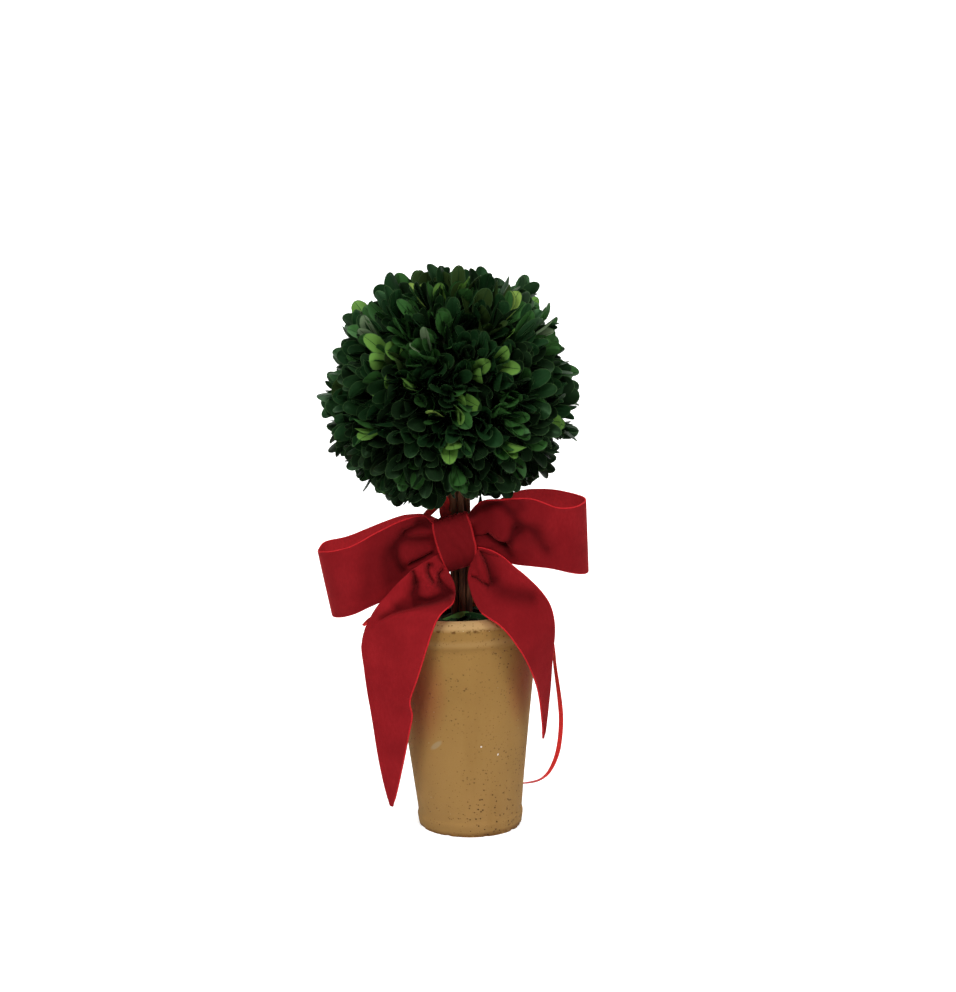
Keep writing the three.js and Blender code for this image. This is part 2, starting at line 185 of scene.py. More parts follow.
def folded(cloth, x, y):  # height of the puffs, creases and folds, and the painted shade in the creases and under the folds
    height, paintedShade = np.zeros(x.shape), np.zeros(x.shape)
    for puffX, puffY, sizeX, sizeY, rise in cloth["puffs"]:
        height += rise * np.exp(-(((x - puffX) / sizeX) ** 2) - ((y - puffY) / sizeY) ** 2)
    for depth, width, dark, path in cloth["creases"]:
        near = np.exp(-((awayFrom(path, x, y)[0] / width) ** 2))
        height -= depth * near
        paintedShade += dark * near
    for rise, drop, soft, nearSize, farSize, dark, path in cloth["folds"]:
        distance, leftward = awayFrom(path, x, y)
        over = 0.5 + 0.5 * np.tanh(leftward / soft)
        under = (1 - over) * np.exp(-((distance / farSize) ** 2))
        height += over * rise * np.exp(-((distance / nearSize) ** 2)) - drop * under
        paintedShade += dark * under
    return height, np.clip(paintedShade, 0, 1)


def tuftHeights(tufts, places):  # mossy unevenness
    rough = [noise.turbulence(Vector(place * tufts["scale"]), 3, False) for place in places]
    return np.array(rough) * tufts["height"] - tufts["sink"]


def tubes(name, lines, radii, sides, aside):  # a thin tube along each line, with a radius for each point
    points, faces, start = [], [], 0
    for line in lines:
        along = unit(np.gradient(line, axis=0))
        side = unit(np.cross(along, aside))
        other = np.cross(along, side)
        i = np.arange(len(line) - 1)
        for k in range(sides):
            angle = 2 * math.pi * k / sides
            points.append(line + (side * math.cos(angle) + other * math.sin(angle)) * radii[:, None])
            near, far = (start + turn % sides * len(line) + i for turn in (k, k + 1))
            faces.append(np.stack([near, far, far + 1, near + 1], 1))
        start += sides * len(line)
    return meshFromArrays(name, points, faces)


# Node trees of the finishes, and of the groups that they share
class NodeDesk:  # short calls to place and join the nodes of one tree
    def __init__(self, tree):
        self.tree, self.nodes, self.join = tree, tree.nodes, tree.links.new

    def put(self, value, socket):  # another node's output, or a plain value
        if isinstance(value, bpy.types.NodeSocket):
            self.join(value, socket)
        else:
            socket.default_value = value

    def node(self, kind, **values):
        made = self.nodes.new(kind)
        for label, value in values.items():
            self.put(value, made.inputs[label])
        return made

    def blend(self, mask, first, second):  # first where the mask is 0, second where it is 1
        mix = self.nodes.new("ShaderNodeMix")
        mix.data_type = "RGBA"
        for label, value in (("Factor", mask), ("A", first), ("B", second)):
            self.put((*value, 1) if isinstance(value, tuple) else value, mix.inputs[label])
        return mix.outputs["Result"]

    def math(self, operation, *values):
        made = self.nodes.new("ShaderNodeMath")
        made.operation = operation
        for value, socket in zip(values, made.inputs):
            self.put(value, socket)
        return made.outputs["Value"]

    def ramp(self, value, low, high):  # 0 below low, 1 above high
        made = self.node("ShaderNodeMapRange", **{"Value": value, "From Min": low, "From Max": high})
        return made.outputs["Result"]

    def band(self, value, level, far, near):  # 1 within near of a level, 0 further than far from it
        return self.ramp(self.math("ABSOLUTE", self.math("SUBTRACT", value, level)), far, near)

    def over(self, color, tone, mask, share=None):  # lays a tone over a colour, or only a share of it
        return self.blend(mask if share is None else self.math("MULTIPLY", mask, share), color, tone)


def newGroup(name, inputs, outputs):
    tree = bpy.data.node_groups.new(name, "ShaderNodeTree")
    for label, kind, value in inputs:
        socket = tree.interface.new_socket(label, in_out="INPUT", socket_type=f"NodeSocket{kind}")
        socket.default_value = value
    for label, kind in outputs:
        tree.interface.new_socket(label, in_out="OUTPUT", socket_type=f"NodeSocket{kind}")
    return NodeDesk(tree), tree.nodes.new("NodeGroupInput").outputs, tree.nodes.new("NodeGroupOutput").inputs


def mottleGroup():  # two colours run together in soft patches
    desk, given, result = newGroup(
        "mottle",
        [("Vector", "Vector", (0, 0, 0)), ("First", "Color", (1, 1, 1, 1)), ("Second", "Color", (0, 0, 0, 1)),
         ("Scale", "Float", 40.0), ("Low", "Float", 0.35), ("High", "Float", 0.65)],
        [("Color", "Color"), ("Mask", "Float")])
    patches = desk.node("ShaderNodeTexNoise", Vector=given["Vector"], Scale=given["Scale"], Detail=5)
    mask = desk.ramp(patches.outputs["Fac"], given["Low"], given["High"])
    desk.join(desk.blend(mask, given["First"], given["Second"]), result["Color"])
    desk.join(mask, result["Mask"])
    return desk.tree


def speckGroup():  # scattered round specks, with only a share of the cells holding one
    desk, given, result = newGroup(
        "specks",
        [("Vector", "Vector", (0, 0, 0)), ("Scale", "Float", 300.0), ("Size", "Float", 0.25),
         ("Share", "Float", 0.3)],
        [("Mask", "Float")])
    cells = desk.node("ShaderNodeTexVoronoi", Vector=given["Vector"], Scale=given["Scale"])
    pick = desk.node("ShaderNodeSeparateColor", Color=cells.outputs["Color"])
    chosen = desk.math("LESS_THAN", pick.outputs["Red"], given["Share"])
    dot = desk.ramp(desk.math("DIVIDE", cells.outputs["Distance"], given["Size"]), 1.0, 0.55)
    desk.join(desk.math("MULTIPLY", dot, chosen), result["Mask"])
    return desk.tree


groups = {"mottle": mottleGroup(), "specks": speckGroup()}


class Finish(NodeDesk):  # one material
    def __init__(self, name, color, roughness, specular):
        self.material = bpy.data.materials.new(name)
        self.material.use_nodes = True
        self.material.diffuse_color = (*color, 1)
        super().__init__(self.material.node_tree)
        self.surface = self.nodes["Principled BSDF"].inputs
        self.set(**{"Base Color": (*color, 1), "Roughness": roughness, "Specular IOR Level": specular})

    def set(self, **values):
        for label, value in values.items():
            self.put(value, self.surface[label])

    def place(self, scale=(1, 1, 1), turn=(0, 0, 0)):  # pattern coordinates
        seat = self.node("ShaderNodeTexCoord").outputs["Object"]
        return self.node("ShaderNodeMapping", Vector=seat, Scale=scale, Rotation=turn).outputs["Vector"]

    def heightOf(self, place):
        return self.node("ShaderNodeSeparateXYZ", Vector=place).outputs["Z"]

    def group(self, name, place, **values):
        made = self.nodes.new("ShaderNodeGroup")
        made.node_tree = groups[name]
        self.join(place, made.inputs["Vector"])
        for label, value in values.items():
            self.put((*value, 1) if isinstance(value, tuple) else value, made.inputs[label])
        return made.outputs

    def spot(self, centre, size, turn=0.0, full=0.6):  # one soft-edged fleck, 1 in its middle
        seat = self.node("ShaderNodeTexCoord").outputs["Object"]
        inside = self.node("ShaderNodeMapping", Vector=seat, Location=[value * mm for value in centre],
                           Rotation=(0, turn, 0), Scale=[value * mm for value in size])
        inside.vector_type = "TEXTURE"
        length = self.nodes.new("ShaderNodeVectorMath")
        length.operation = "LENGTH"
        self.join(inside.outputs["Vector"], length.inputs[0])
        return self.ramp(length.outputs["Value"], 1.0, full)

    def relief(self, height, distance, strength, **values):
        made = self.node("ShaderNodeBump", Height=height, Distance=distance * mm, Strength=strength, **values)
        return made.outputs["Normal"]


def mottledFinish(name, color, roughness, specular, first, second, scale, relief=None):
    finish = Finish(name, color, roughness, specular)
    mottle = finish.group("mottle", finish.place(), First=first, Second=second, Scale=scale)
    finish.set(**{"Base Color": mottle["Color"]})
    if relief:
        finish.set(Normal=finish.relief(mottle["Mask"], *relief))
    return finish.material


# Camera, floor and studio light, in metres but for the camera's place
view = {"place": (4.66, -1000, 335), "pitchDown": 7.5, "focalPixels": 1667, "imageWidth": 956, "sensor": 36}
studio = {"floorSize": 3.0, "sweepHeight": 1.6, "sweepRound": 0.6, "floorColor": (0.86, 0.86, 0.85),
          "floorGlow": 0.6, "worldStrength": 0.19,
          # place, aim, size and power of each softbox
          "softboxes": {"left": ((-0.55, -1.15, 1.15), (0, 0, 0.2), (0.6, 0.5), 13),
                        "right": ((0.75, -1.05, 1.1), (0, 0, 0.2), (0.6, 0.5), 10),
                        "top": ((0.05, -0.05, 1.4), (0, 0, 0.25), (0.7, 0.6), 8),
                        "backdrop": ((0, 0.75, 1.6), (0, 1.45, 0.5), (2.0, 0.3), 16)}}


def addCamera():
    deselectAll()
    place = [value * mm for value in view["place"]]
    bpy.ops.object.camera_add(location=place, rotation=(math.radians(90 - view["pitchDown"]), 0, 0))
    camera = bpy.context.object
    camera.data.sensor_fit = "HORIZONTAL"
    camera.data.sensor_width = view["sensor"]
    camera.data.lens = view["sensor"] * view["focalPixels"] / view["imageWidth"]
    camera.data.clip_start = 0.01
    bpy.context.scene.camera = camera


def addFloor():  # a pale floor that sweeps up behind the tree
    deselectAll()
    bpy.ops.mesh.primitive_plane_add(size=studio["floorSize"], location=(0, 0, 0))
    floor = bpy.context.object
    floor.name = "floor"
    back = studio["floorSize"] / 2 - 0.01
    editEdges(floor, lambda a, b: min(a.y, b.y) > back)
    extrudeUp(studio["sweepHeight"])
    editEdges(floor, lambda a, b: min(a.y, b.y) > back and max(a.z, b.z) < 0.01)
    bpy.ops.mesh.bevel(offset=studio["sweepRound"], segments=14)
    leaveEdit()
    smoothShade(floor)
    pale = Finish("pale floor", studio["floorColor"], 0.9, 0.1)
    seen = pale.node("ShaderNodeLightPath").outputs["Is Camera Ray"]  # keeps the glow off the tree
    pale.set(**{"Emission Color": (1, 1, 1, 1),
                "Emission Strength": pale.math("MULTIPLY", seen, studio["floorGlow"])})
    floor.data.materials.append(pale.material)


def addSoftbox(name, place, aim, size, power):
    deselectAll()
    bpy.ops.object.light_add(type="AREA", location=place)
    light = bpy.context.object
    light.name = f"{name} softbox"
    light.data.shape = "RECTANGLE"
    light.data.size, light.data.size_y = size
    light.data.energy = power
    light.rotation_euler = (Vector(aim) - Vector(place)).to_track_quat("-Z", "Y").to_euler()


def addStudio():
    addCamera()
    addFloor()
    for name, softbox in studio["softboxes"].items():
        addSoftbox(name, *softbox)
    world = bpy.data.worlds.new("studio")
    world.use_nodes = True
    world.node_tree.nodes["Background"].inputs["Color"].default_value = (1, 1, 1, 1)
    world.node_tree.nodes["Background"].inputs["Strength"].default_value = studio["worldStrength"]
    bpy.context.scene.world = world
    bpy.context.scene.view_settings.view_transform = "Standard"


addStudio()
print("studio ready")


# Clay pot: a leaning cone turned from a ring, with a foot, a proud collar and a sloping lip
pot = {"height": 135, "baseRadius": 30.9, "topRadius": 46.4, "wall": 7.5, "floor": 9, "footHeight": 9,
       "footProud": 0.9, "collarHeight": 17, "collarProud": 1, "lipDrop": 5.3, "lean": 1.8, "sides": 64,
       "chipHeight": 3.2, "chipDepth": 3.0, "wobble": 0.35, "throwingLines": 0.09,
       # painted red light bounced from the velvet tails onto the clay beside them: place, half sizes and
       # strength
       "redBounceSpots": [((-30, -27, 96), (22, 22, 43), 0.88), ((37, -22, 98), (20, 23, 37), 0.88)],
       # a pale smear and two white flecks: place, half sizes, turn and colour
       "flecks": [((-20.6, -34.6, 57.2), (5.6, 9, 2.0), -0.75, (0.33, 0.235, 0.11)),
                  ((6.6, -36.5, 57.6), (0.6, 4, 0.6), 0.0, (0.85, 0.82, 0.75)),
                  ((16.6, -33.5, 51.6), (0.55, 4, 1.0), 0.3, (0.85, 0.82, 0.75))]}
clayTones = {"light": (0.308, 0.17, 0.046), "deep": (0.25, 0.135, 0.034), "blush": (0.3, 0.153, 0.046),
             "low": (0.36, 0.207, 0.067), "streak": (0.23, 0.12, 0.03), "lip": (0.44, 0.278, 0.116),
             "underCollar": (0.17, 0.085, 0.022), "collarLight": (0.4, 0.245, 0.095),
             "scorch": (0.12, 0.055, 0.012), "foot": (0.18, 0.082, 0.02), "iron": (0.055, 0.026, 0.0065),
             "fine": (0.13, 0.065, 0.018), "pale": (0.55, 0.45, 0.28), "redBounceTone": (0.255, 0.054, 0.02)}


def potRadius(z):
    return pot["baseRadius"] + (pot["topRadius"] - pot["baseRadius"]) * z / pot["height"]


def potRings():  # radius and height of each ring, from the underside round the lip to the inside floor
    top, lip = pot["height"], pot["height"] - pot["lipDrop"]
    collar, foot = top - pot["collarHeight"], pot["footHeight"]
    footOut, collarOut = pot["footProud"], pot["collarProud"]
    under = [(0, footOut - 1.1, -3), (0, footOut - 0.7, -1.2), (0, footOut - 0.2, 0.2),
             (1, footOut + 0.1, 1.6), (4, footOut, 4.4), (foot, footOut, foot - 1.6)]
    side = [(z, 0, z) for z in (foot, foot + 4, 40, 64, 88, 108, collar - 1.4)]
    rim = [(collar, 0.1, collar), (collar, collarOut, collar + 1.4), (collar + 6, collarOut, collar + 6),
           (lip, collarOut, lip - 0.8), (lip, 0.4, lip + 0.5), (lip, -1.6, top - 1.4), (lip, -4.2, top - 0.1),
           (lip, -6.2, top - 0.3)]
    inside = [(z, -pot["wall"], z) for z in (top - 3, top - 14, 60, 14)]
    return [(potRadius(level) + out, z) for level, out, z in under + side + rim + inside]


def clayFinish():
    clay = Finish("speckled clay", (0.38, 0.225, 0.085), 0.85, 0.2)
    clay.set(**{"Sheen Weight": 0.06, "Sheen Tint": (1.0, 0.72, 0.5, 1)})  # dusty edges
    upright = clay.place(turn=(0, math.radians(pot["lean"]), 0))
    up = clay.heightOf(upright)
    edge = (pot["height"] - pot["lipDrop"]) * mm
    under = (pot["height"] - pot["collarHeight"] - 0.6) * mm

    def patches(scale, low, high, place=upright):
        return clay.group("mottle", place, Scale=scale, Low=low, High=high)["Mask"]

    def specks(scale, size, share):
        return clay.group("specks", upright, Scale=scale, Size=size, Share=share)["Mask"]

    color = clay.group("mottle", upright, First=clayTones["light"], Second=clayTones["deep"], Scale=24.0,
                       Low=0.3, High=0.72)["Color"]
    iron = clay.math("MULTIPLY", specks(400.0, 0.24, 0.8), patches(22.0, 0.36, 0.6))
    for tone, mask, share in (
            ("blush", patches(13.0, 0.5, 0.78), None),
            # painted light: the clay is lighter towards the foot
            ("low", clay.ramp(up, 100 * mm, 15 * mm), 0.6),
            ("streak", patches(90.0, 0.5, 0.8, clay.place(scale=(1, 1, 0.1))), 0.4),
            ("lip", clay.ramp(up, edge - 0.9 * mm, edge + 1.4 * mm), None),
            # painted shade under the collar, and a painted highlight on its bulge above
            ("underCollar", clay.band(up, under, 2.8 * mm, 0.2 * mm), 0.2),
            ("collarLight", clay.band(up, under + 4 * mm, 3 * mm, 0.5 * mm), 0.4),
            ("scorch", clay.band(up, edge - 0.5 * mm, 1.3 * mm, 0.3 * mm), patches(330.0, 0.5, 0.6)),
            ("foot", clay.ramp(up, pot["chipHeight"] * mm, 0.9 * mm), patches(190.0, 0.26, 0.44)),
            ("iron", iron, None),
            ("fine", specks(700.0, 0.27, 0.2), 0.75),
            ("pale", specks(260.0, 0.09, 0.07), 0.7)):
        color = clay.over(color, clayTones[tone], mask, share)
    # painted red reflection of the velvet tails on the clay beside them
    for centre, size, share in pot["redBounceSpots"]:
        color = clay.over(color, clayTones["redBounceTone"], clay.spot(centre, size, full=0.2), share)
    for centre, size, turn, tone in pot["flecks"]:
        color = clay.over(color, tone, clay.spot(centre, size, turn))
    grain = clay.node("ShaderNodeTexNoise", Vector=upright, Scale=900.0, Detail=5.0).outputs["Fac"]
    pits = clay.math("MULTIPLY", iron, -1)
    skin = clay.relief(pits, 0.5, 0.9, Normal=clay.relief(grain, 0.3, 0.6))
    clay.set(**{"Base Color": color, "Normal": skin})
    return clay.material


def wearPot(piece):  # hand-turned unevenness, faint throwing lines and a chipped foot
    places = vertexArray(piece)
    innerSkin = (potRadius(places[:, 2] / mm) - 4) * mm
    for i in np.nonzero(np.hypot(places[:, 0], places[:, 1]) > innerSkin)[0]:
        x, y, z = places[i]
        direction = np.array([x, y, 0]) / max(math.hypot(x, y), 1e-6)
        wear = pot["wobble"] * noise.noise(Vector((x * 22, y * 22, z * 14)))
        wear += pot["throwingLines"] * noise.noise(Vector((direction[0] * 0.6, direction[1] * 0.6, z * 330)))
        if z < pot["chipHeight"] * mm:
            bite = max(0.0, noise.noise(Vector((x * 170, y * 170, z * 170))))
            wear -= pot["chipDepth"] * bite * (1 - z / (pot["chipHeight"] * mm))
        places[i] += direction * wear * mm
    setVertices(piece, places)


def makePot():
    deselectAll()
    rings = potRings()
    radius, z = rings[0]
    bpy.ops.mesh.primitive_circle_add(vertices=pot["sides"], radius=radius * mm, fill_type="NGON",
                                      location=(0, 0, 0))
    piece = bpy.context.object
    editAll()
    bpy.ops.transform.translate(value=(0, 0, z * mm))
    for nextRadius, nextZ in rings[1:]:
        extrudeRing(nextZ - z, nextRadius / radius)
        radius, z = nextRadius, nextZ
    bpy.ops.mesh.inset(thickness=4 * mm, depth=(z - pot["floor"]) * -mm)  # the floor inside
    faceOutwards()
    smoothen(piece, 2)
    wearPot(piece)
    piece.data.transform(Matrix.Rotation(-math.radians(pot["lean"]), 4, "Y"))
    makeActive(piece)
    editAll()
    bpy.ops.mesh.bisect(plane_co=(0, 0, 0), plane_no=(0, 0, 1), clear_inner=True, use_fill=True,
                        threshold=1e-6)
    leaveEdit()
    smoothShade(piece, 35)
    settle(piece, "clayPot", clayFinish(), "pot", "pot")


makePot()
print("pot turned")


# Boxwood leaves: blunt blades with a lighter rim and a midrib, dealt out in sprays by a seeded rule
blade = {"stations": (0, 0.22, 0.46, 0.68, 0.83, 0.93, 0.98, 1.0), "columns": 5, "widest": 0.68, "foot": 0.09,
         "bluntness": 2.05, "groove": 0.05, "rim": 0.3, "rib": 0.26, "ribRise": 0.16}
tints = {"deep": (0.0056, 0.015, 0.0052), "dark": (0.0072, 0.0255, 0.0072), "cool": (0.0085, 0.034, 0.0098),
         "olive": (0.021, 0.04, 0.0085), "fresh": (0.029, 0.096, 0.021), "bright": (0.112, 0.24, 0.042),
         "yellow": (0.2, 0.31, 0.062), "pale": (0.13, 0.185, 0.1), "grass": (0.11, 0.29, 0.07),
         "rim": (0.038, 0.08, 0.028)}
ribTints = {"deep": "dark", "dark": "cool", "cool": "dark", "olive": "dark", "fresh": "dark",
            "bright": "dark", "yellow": "olive", "pale": "olive", "grass": "fresh"}


def bladeWidth(t):  # half width along a leaf, as a share of its greatest half width
    rising = np.sin(0.5 * np.pi * np.clip(t / blade["widest"], 0, 1)) ** 1.5
    past = np.clip((t - blade["widest"]) / (1 - blade["widest"]), 0, 1)
    return np.where(t < blade["widest"], blade["foot"] + (1 - blade["foot"]) * rising,
                    np.sqrt(1 - past ** blade["bluntness"]) * 0.97 + 0.03)


def bladePoints(leaves):  # leaves: arrays of root, heading, face, length, width, cup and bend
    t = np.array(blade["stations"])
    s = np.linspace(-1, 1, blade["columns"])
    along = np.broadcast_to(t[:, None], (len(t), len(s)))
    half = bladeWidth(t)[:, None] * s
    length, cup, bend = (leaves[key][:, None, None] for key in ("length", "cup", "bend"))
    width = leaves["width"][:, None, None] / 2
    x = along * length
    y = half * width
    z = cup * half**2 * width - bend * along**2 * length - blade["groove"] * width * np.exp(-((s / 0.3) ** 2))
    heading = unit(leaves["heading"])
    side = unit(np.cross(leaves["face"], heading))
    face = np.cross(heading, side)
    return (leaves["root"][:, None, None, :] + x[..., None] * heading[:, None, None, :]
            + y[..., None] * side[:, None, None, :] + z[..., None] * face[:, None, None, :])


def stripFaces(count, rows, columns):  # quads of count grids, each rows by columns
    r, c = np.meshgrid(np.arange(rows - 1), np.arange(columns - 1), indexing="ij")
    corner = (r * columns + c).ravel()
    quads = np.stack([corner, corner + columns, corner + columns + 1, corner + 1], 1)
    return (quads[None] + (np.arange(count) * rows * columns)[:, None, None]).reshape(-1, 4)


def bladeRims(points):  # a thin border round each blade, outwards from its midrib
    widest = blade["stations"].index(blade["widest"])
    middle = points[:, np.minimum(np.arange(len(blade["stations"])), widest), blade["columns"] // 2]
    edge = np.concatenate([points[:, 1:, 0], points[:, :0:-1, -1]], 1)
    inside = np.concatenate([middle[:, 1:], middle[:, :0:-1]], 1)
    outer = edge + unit(edge - inside) * blade["rim"] * mm
    return np.stack([edge, outer], 2)


def bladeRibs(points, face):  # the midrib, raised on both sides
    middle = blade["columns"] // 2
    line = points[:, :-1, middle]
    across = unit(points[:, :-1, middle + 1] - points[:, :-1, middle - 1])
    narrow = across * np.linspace(1, 0.35, line.shape[1])[None, :, None] * blade["rib"] * mm
    lift = unit(face)[:, None, :] * blade["ribRise"] * mm
    return np.concatenate([np.stack([line - narrow + rise, line + narrow + rise], 2)
                           for rise in (lift, -lift)])


def leafRecord(root, heading, face, length, width, cup, bend):
    return {"root": np.array(root) * mm, "heading": np.array(heading), "face": np.array(face),
            "length": length * mm, "width": width * mm, "cup": cup, "bend": bend}


def dressLeaves(byTint, name, finish, node):  # blades, rims and ribs, joined in one piece for each tint
    grids = {}
    for tint, leaves in byTint.items():
        arrays = {key: np.array([leaf[key] for leaf in leaves]) for key in leaves[0]}
        blades = bladePoints(arrays)
        for kind, batch in ((tint, blades), ("rim", bladeRims(blades)),
                            (ribTints[tint], bladeRibs(blades, arrays["face"]))):
            grids.setdefault(kind, []).append(batch)
    for tint in sorted(grids):
        points, faces, start = [], [], 0
        for batch in grids[tint]:
            faces.append(stripFaces(*batch.shape[:3]) + start)
            points.append(batch.reshape(-1, 3))
            start += len(points[-1])
        piece = meshFromArrays(f"{name}-{tint}", points, faces)
        smoothShade(piece)
        settle(piece, f"{name}-{tint}", finish(tint), "leaves", node)


def leafFinish(tint):
    leaf = Finish(f"boxwood {tint}", tints[tint], 0.42, 0.28)
    leaf.set(**{"Specular Tint": (0.5, 1.0, 0.48, 1)})
    return leaf.material


def dryFinish(tint):
    return Finish(f"dry {tint}", tints[tint], 0.85, 0.06).material


crown = {"centre": (-12.2, 2, 265.8), "reach": (79.5, 74, 78.2), "sprigs": 370, "seed": 5, "pairs": 4,
         "pairGap": 3.8, "leafLength": (23, 24, 23, 20), "leafAngle": (5, 11, 19, 30), "slimness": 0.41,
         "tilt": 0.26, "flatShare": 0.4, "tipShare": (0.9, 1.02), "coreShare": 0.6, "twigRadius": 0.75,
         "stemLine": (-4.4, 111.5, -7.2, 235.8), "stemRoom": 7.4, "lowest": 196.5,
         "trim": 1.03, "lowSprigs": -0.25, "oddShare": 0.12, "paintedInnerShade": (0, 0, 0.3, 0.6),
         "scatter": 0.035, "angleSpread": 0.1, "aside": 0.16, "faceSpread": 0.3, "lengthShare": (0.8, 1.1),
         "widthShare": (0.84, 1.16), "cup": (0.1, 0.5), "bend": (-0.04, 0.16),
         "coreTufts": {"scale": 7, "height": 2.5, "sink": 2},
         # room that leaves keep off: over the right loop, round the tie's left end and before the stems
         "loopRoom": {"front": -34, "back": 14, "top": 207.5, "start": 197, "slope": 0.6},
         "tieRoom": {"x": -20, "y": 3, "radius": 12, "top": 197.5},
         "stemView": {"left": -18, "right": 10, "back": 8, "top": 202, "slope": 0.134},
         # where the clipping left a lump or a dent: angle seen from the front, and share of the reach
         "lumps": [(5, -0.02), (21, -0.075), (56, 0.085), (72, -0.03), (95, 0.05), (120, -0.005),
                   (157, -0.085), (178, -0.035), (-168, 0.045), (-144, 0.07), (-24, 0.015)],
         "lumpWidth": 10,
         # single leaves beside the stems and behind the right loop's rim: root, heading, face, length, width
         "strays": [((6.5, 4, 205.5), (-0.13, 0.05, -1), (1, 0.5, 0), 11.5, 5),
                    ((17.1, -20, 217.9), (0.45, -0.14, -0.88), (0.2, -0.95, 0.3), 14.8, 7.5),
                    ((22.4, -20, 221.5), (0.45, -0.14, -0.88), (0.4, -0.85, 0.4), 14, 7),
                    ((12.4, -20, 216.7), (0.29, -0.16, -0.94), (-0.2, -0.95, 0.3), 12.4, 6.5)],
         # light sprays on the front, by their offset across and up from the centre
         "light": {"yellow": [(1, -16), (36, 60), (-20, 70), (71, 8)],
                   "bright": [(17, 2), (12, -9), (19, 17), (48, 41), (39, 34), (-4, 72), (8, 70), (-30, 37),
                              (-54, 35), (-46, 25), (-47, 8), (-57, -25), (71, -15), (-25, 5), (43, -32),
                              (-1, -32), (6, -38)],
                   "fresh": [(-31, -56), (7, -47), (43, -13), (-18, -7), (-4, 47), (-28, 62), (-34, 46),
                             (42, -2)],
                   "pale": [(58, 48), (-12, 38), (-52, 44)]},
         # other tints for sprigs on the front, and darker ones for those below as painted shade
         "plainer": {"bright": "cool", "yellow": "dark", "pale": "olive"},
         "paintedShadeBelow": {"fresh": "cool", "cool": "dark", "dark": "deep", "olive": "deep"}}


def crownShare(offset):  # 1 on the ball's outline, less inside it
    angle = np.degrees(np.arctan2(offset[..., 2], offset[..., 0]))
    sideways = (offset[..., 0] ** 2 + offset[..., 2] ** 2) / np.maximum((offset**2).sum(-1), 1e-9)
    change = 1.0
    for middle, rise in crown["lumps"]:
        away = (angle - middle + 180) % 360 - 180
        change = change + rise * sideways**2 * np.exp(-((away / crown["lumpWidth"]) ** 2))
    return np.linalg.norm(offset / np.array(crown["reach"]), axis=-1) / change


def stemLineX(z):
    footX, footZ, topX, topZ = crown["stemLine"]
    return footX + (topX - footX) * (z - footZ) / (topZ - footZ)


def inCrown(points):  # inside the outline, off the stems and clear of the bow
    x, y, z = points[..., 0], points[..., 1], points[..., 2]
    loop, end, stem = crown["loopRoom"], crown["tieRoom"], crown["stemView"]
    loopTop = np.minimum(loop["top"], loop["start"] + loop["slope"] * x)
    nearLoop = (y > loop["front"]) & (y < loop["back"]) & (x > 0) & (z < loopTop)
    nearTie = (np.hypot(x - end["x"], y - end["y"]) < end["radius"]) & (z < end["top"])
    hidesStems = ((x > stem["left"]) & (x < stem["right"]) & (y < stem["back"])
                  & (z < stem["top"] - stem["slope"] * y))
    offStems = np.hypot(x - stemLineX(z), y) > crown["stemRoom"]
    clear = ~nearLoop & ~nearTie & ~hidesStems & offStems & (z > crown["lowest"])
    return clear & (crownShare(points - np.array(crown["centre"])) < crown["trim"])


def sprigDirections(random, count):
    up = 1 - 2 * (np.arange(count) + 0.5) / count
    angle = np.arange(count) * math.pi * (3 - math.sqrt(5))
    flat = np.sqrt(1 - up**2)
    directions = np.stack([flat * np.cos(angle), flat * np.sin(angle), up], 1)
    return unit(directions + random.normal(0, crown["scatter"], directions.shape))


def sprigTint(random, direction):  # painted light and shade: more light tints on top and more dark ones below
    lively, low = 0.09 + 0.05 * max(0.0, direction[2]), max(0.0, -direction[2])
    return random.choice(["deep", "dark", "cool", "olive", "fresh", "bright", "yellow", "pale"],
                         p=[0.2 + 0.5 * low, 0.33 - lively - 0.2 * low, 0.24 - 0.2 * low, 0.09 - 0.03 * low,
                            0.09 - 0.07 * low, lively, 0.035, 0.015])


def lightSprays(directions):  # which sprigs stand nearest to the listed light ones
    picked = {}
    for tint, places in crown["light"].items():
        for x, z in places:
            across, up = x / crown["reach"][0], z / crown["reach"][2]
            front = -math.sqrt(max(0.02, 1 - across**2 - up**2)) * crown["reach"][1]
            picked[int(np.argmax(directions @ unit(np.array([x, front, z]))))] = tint
    return picked


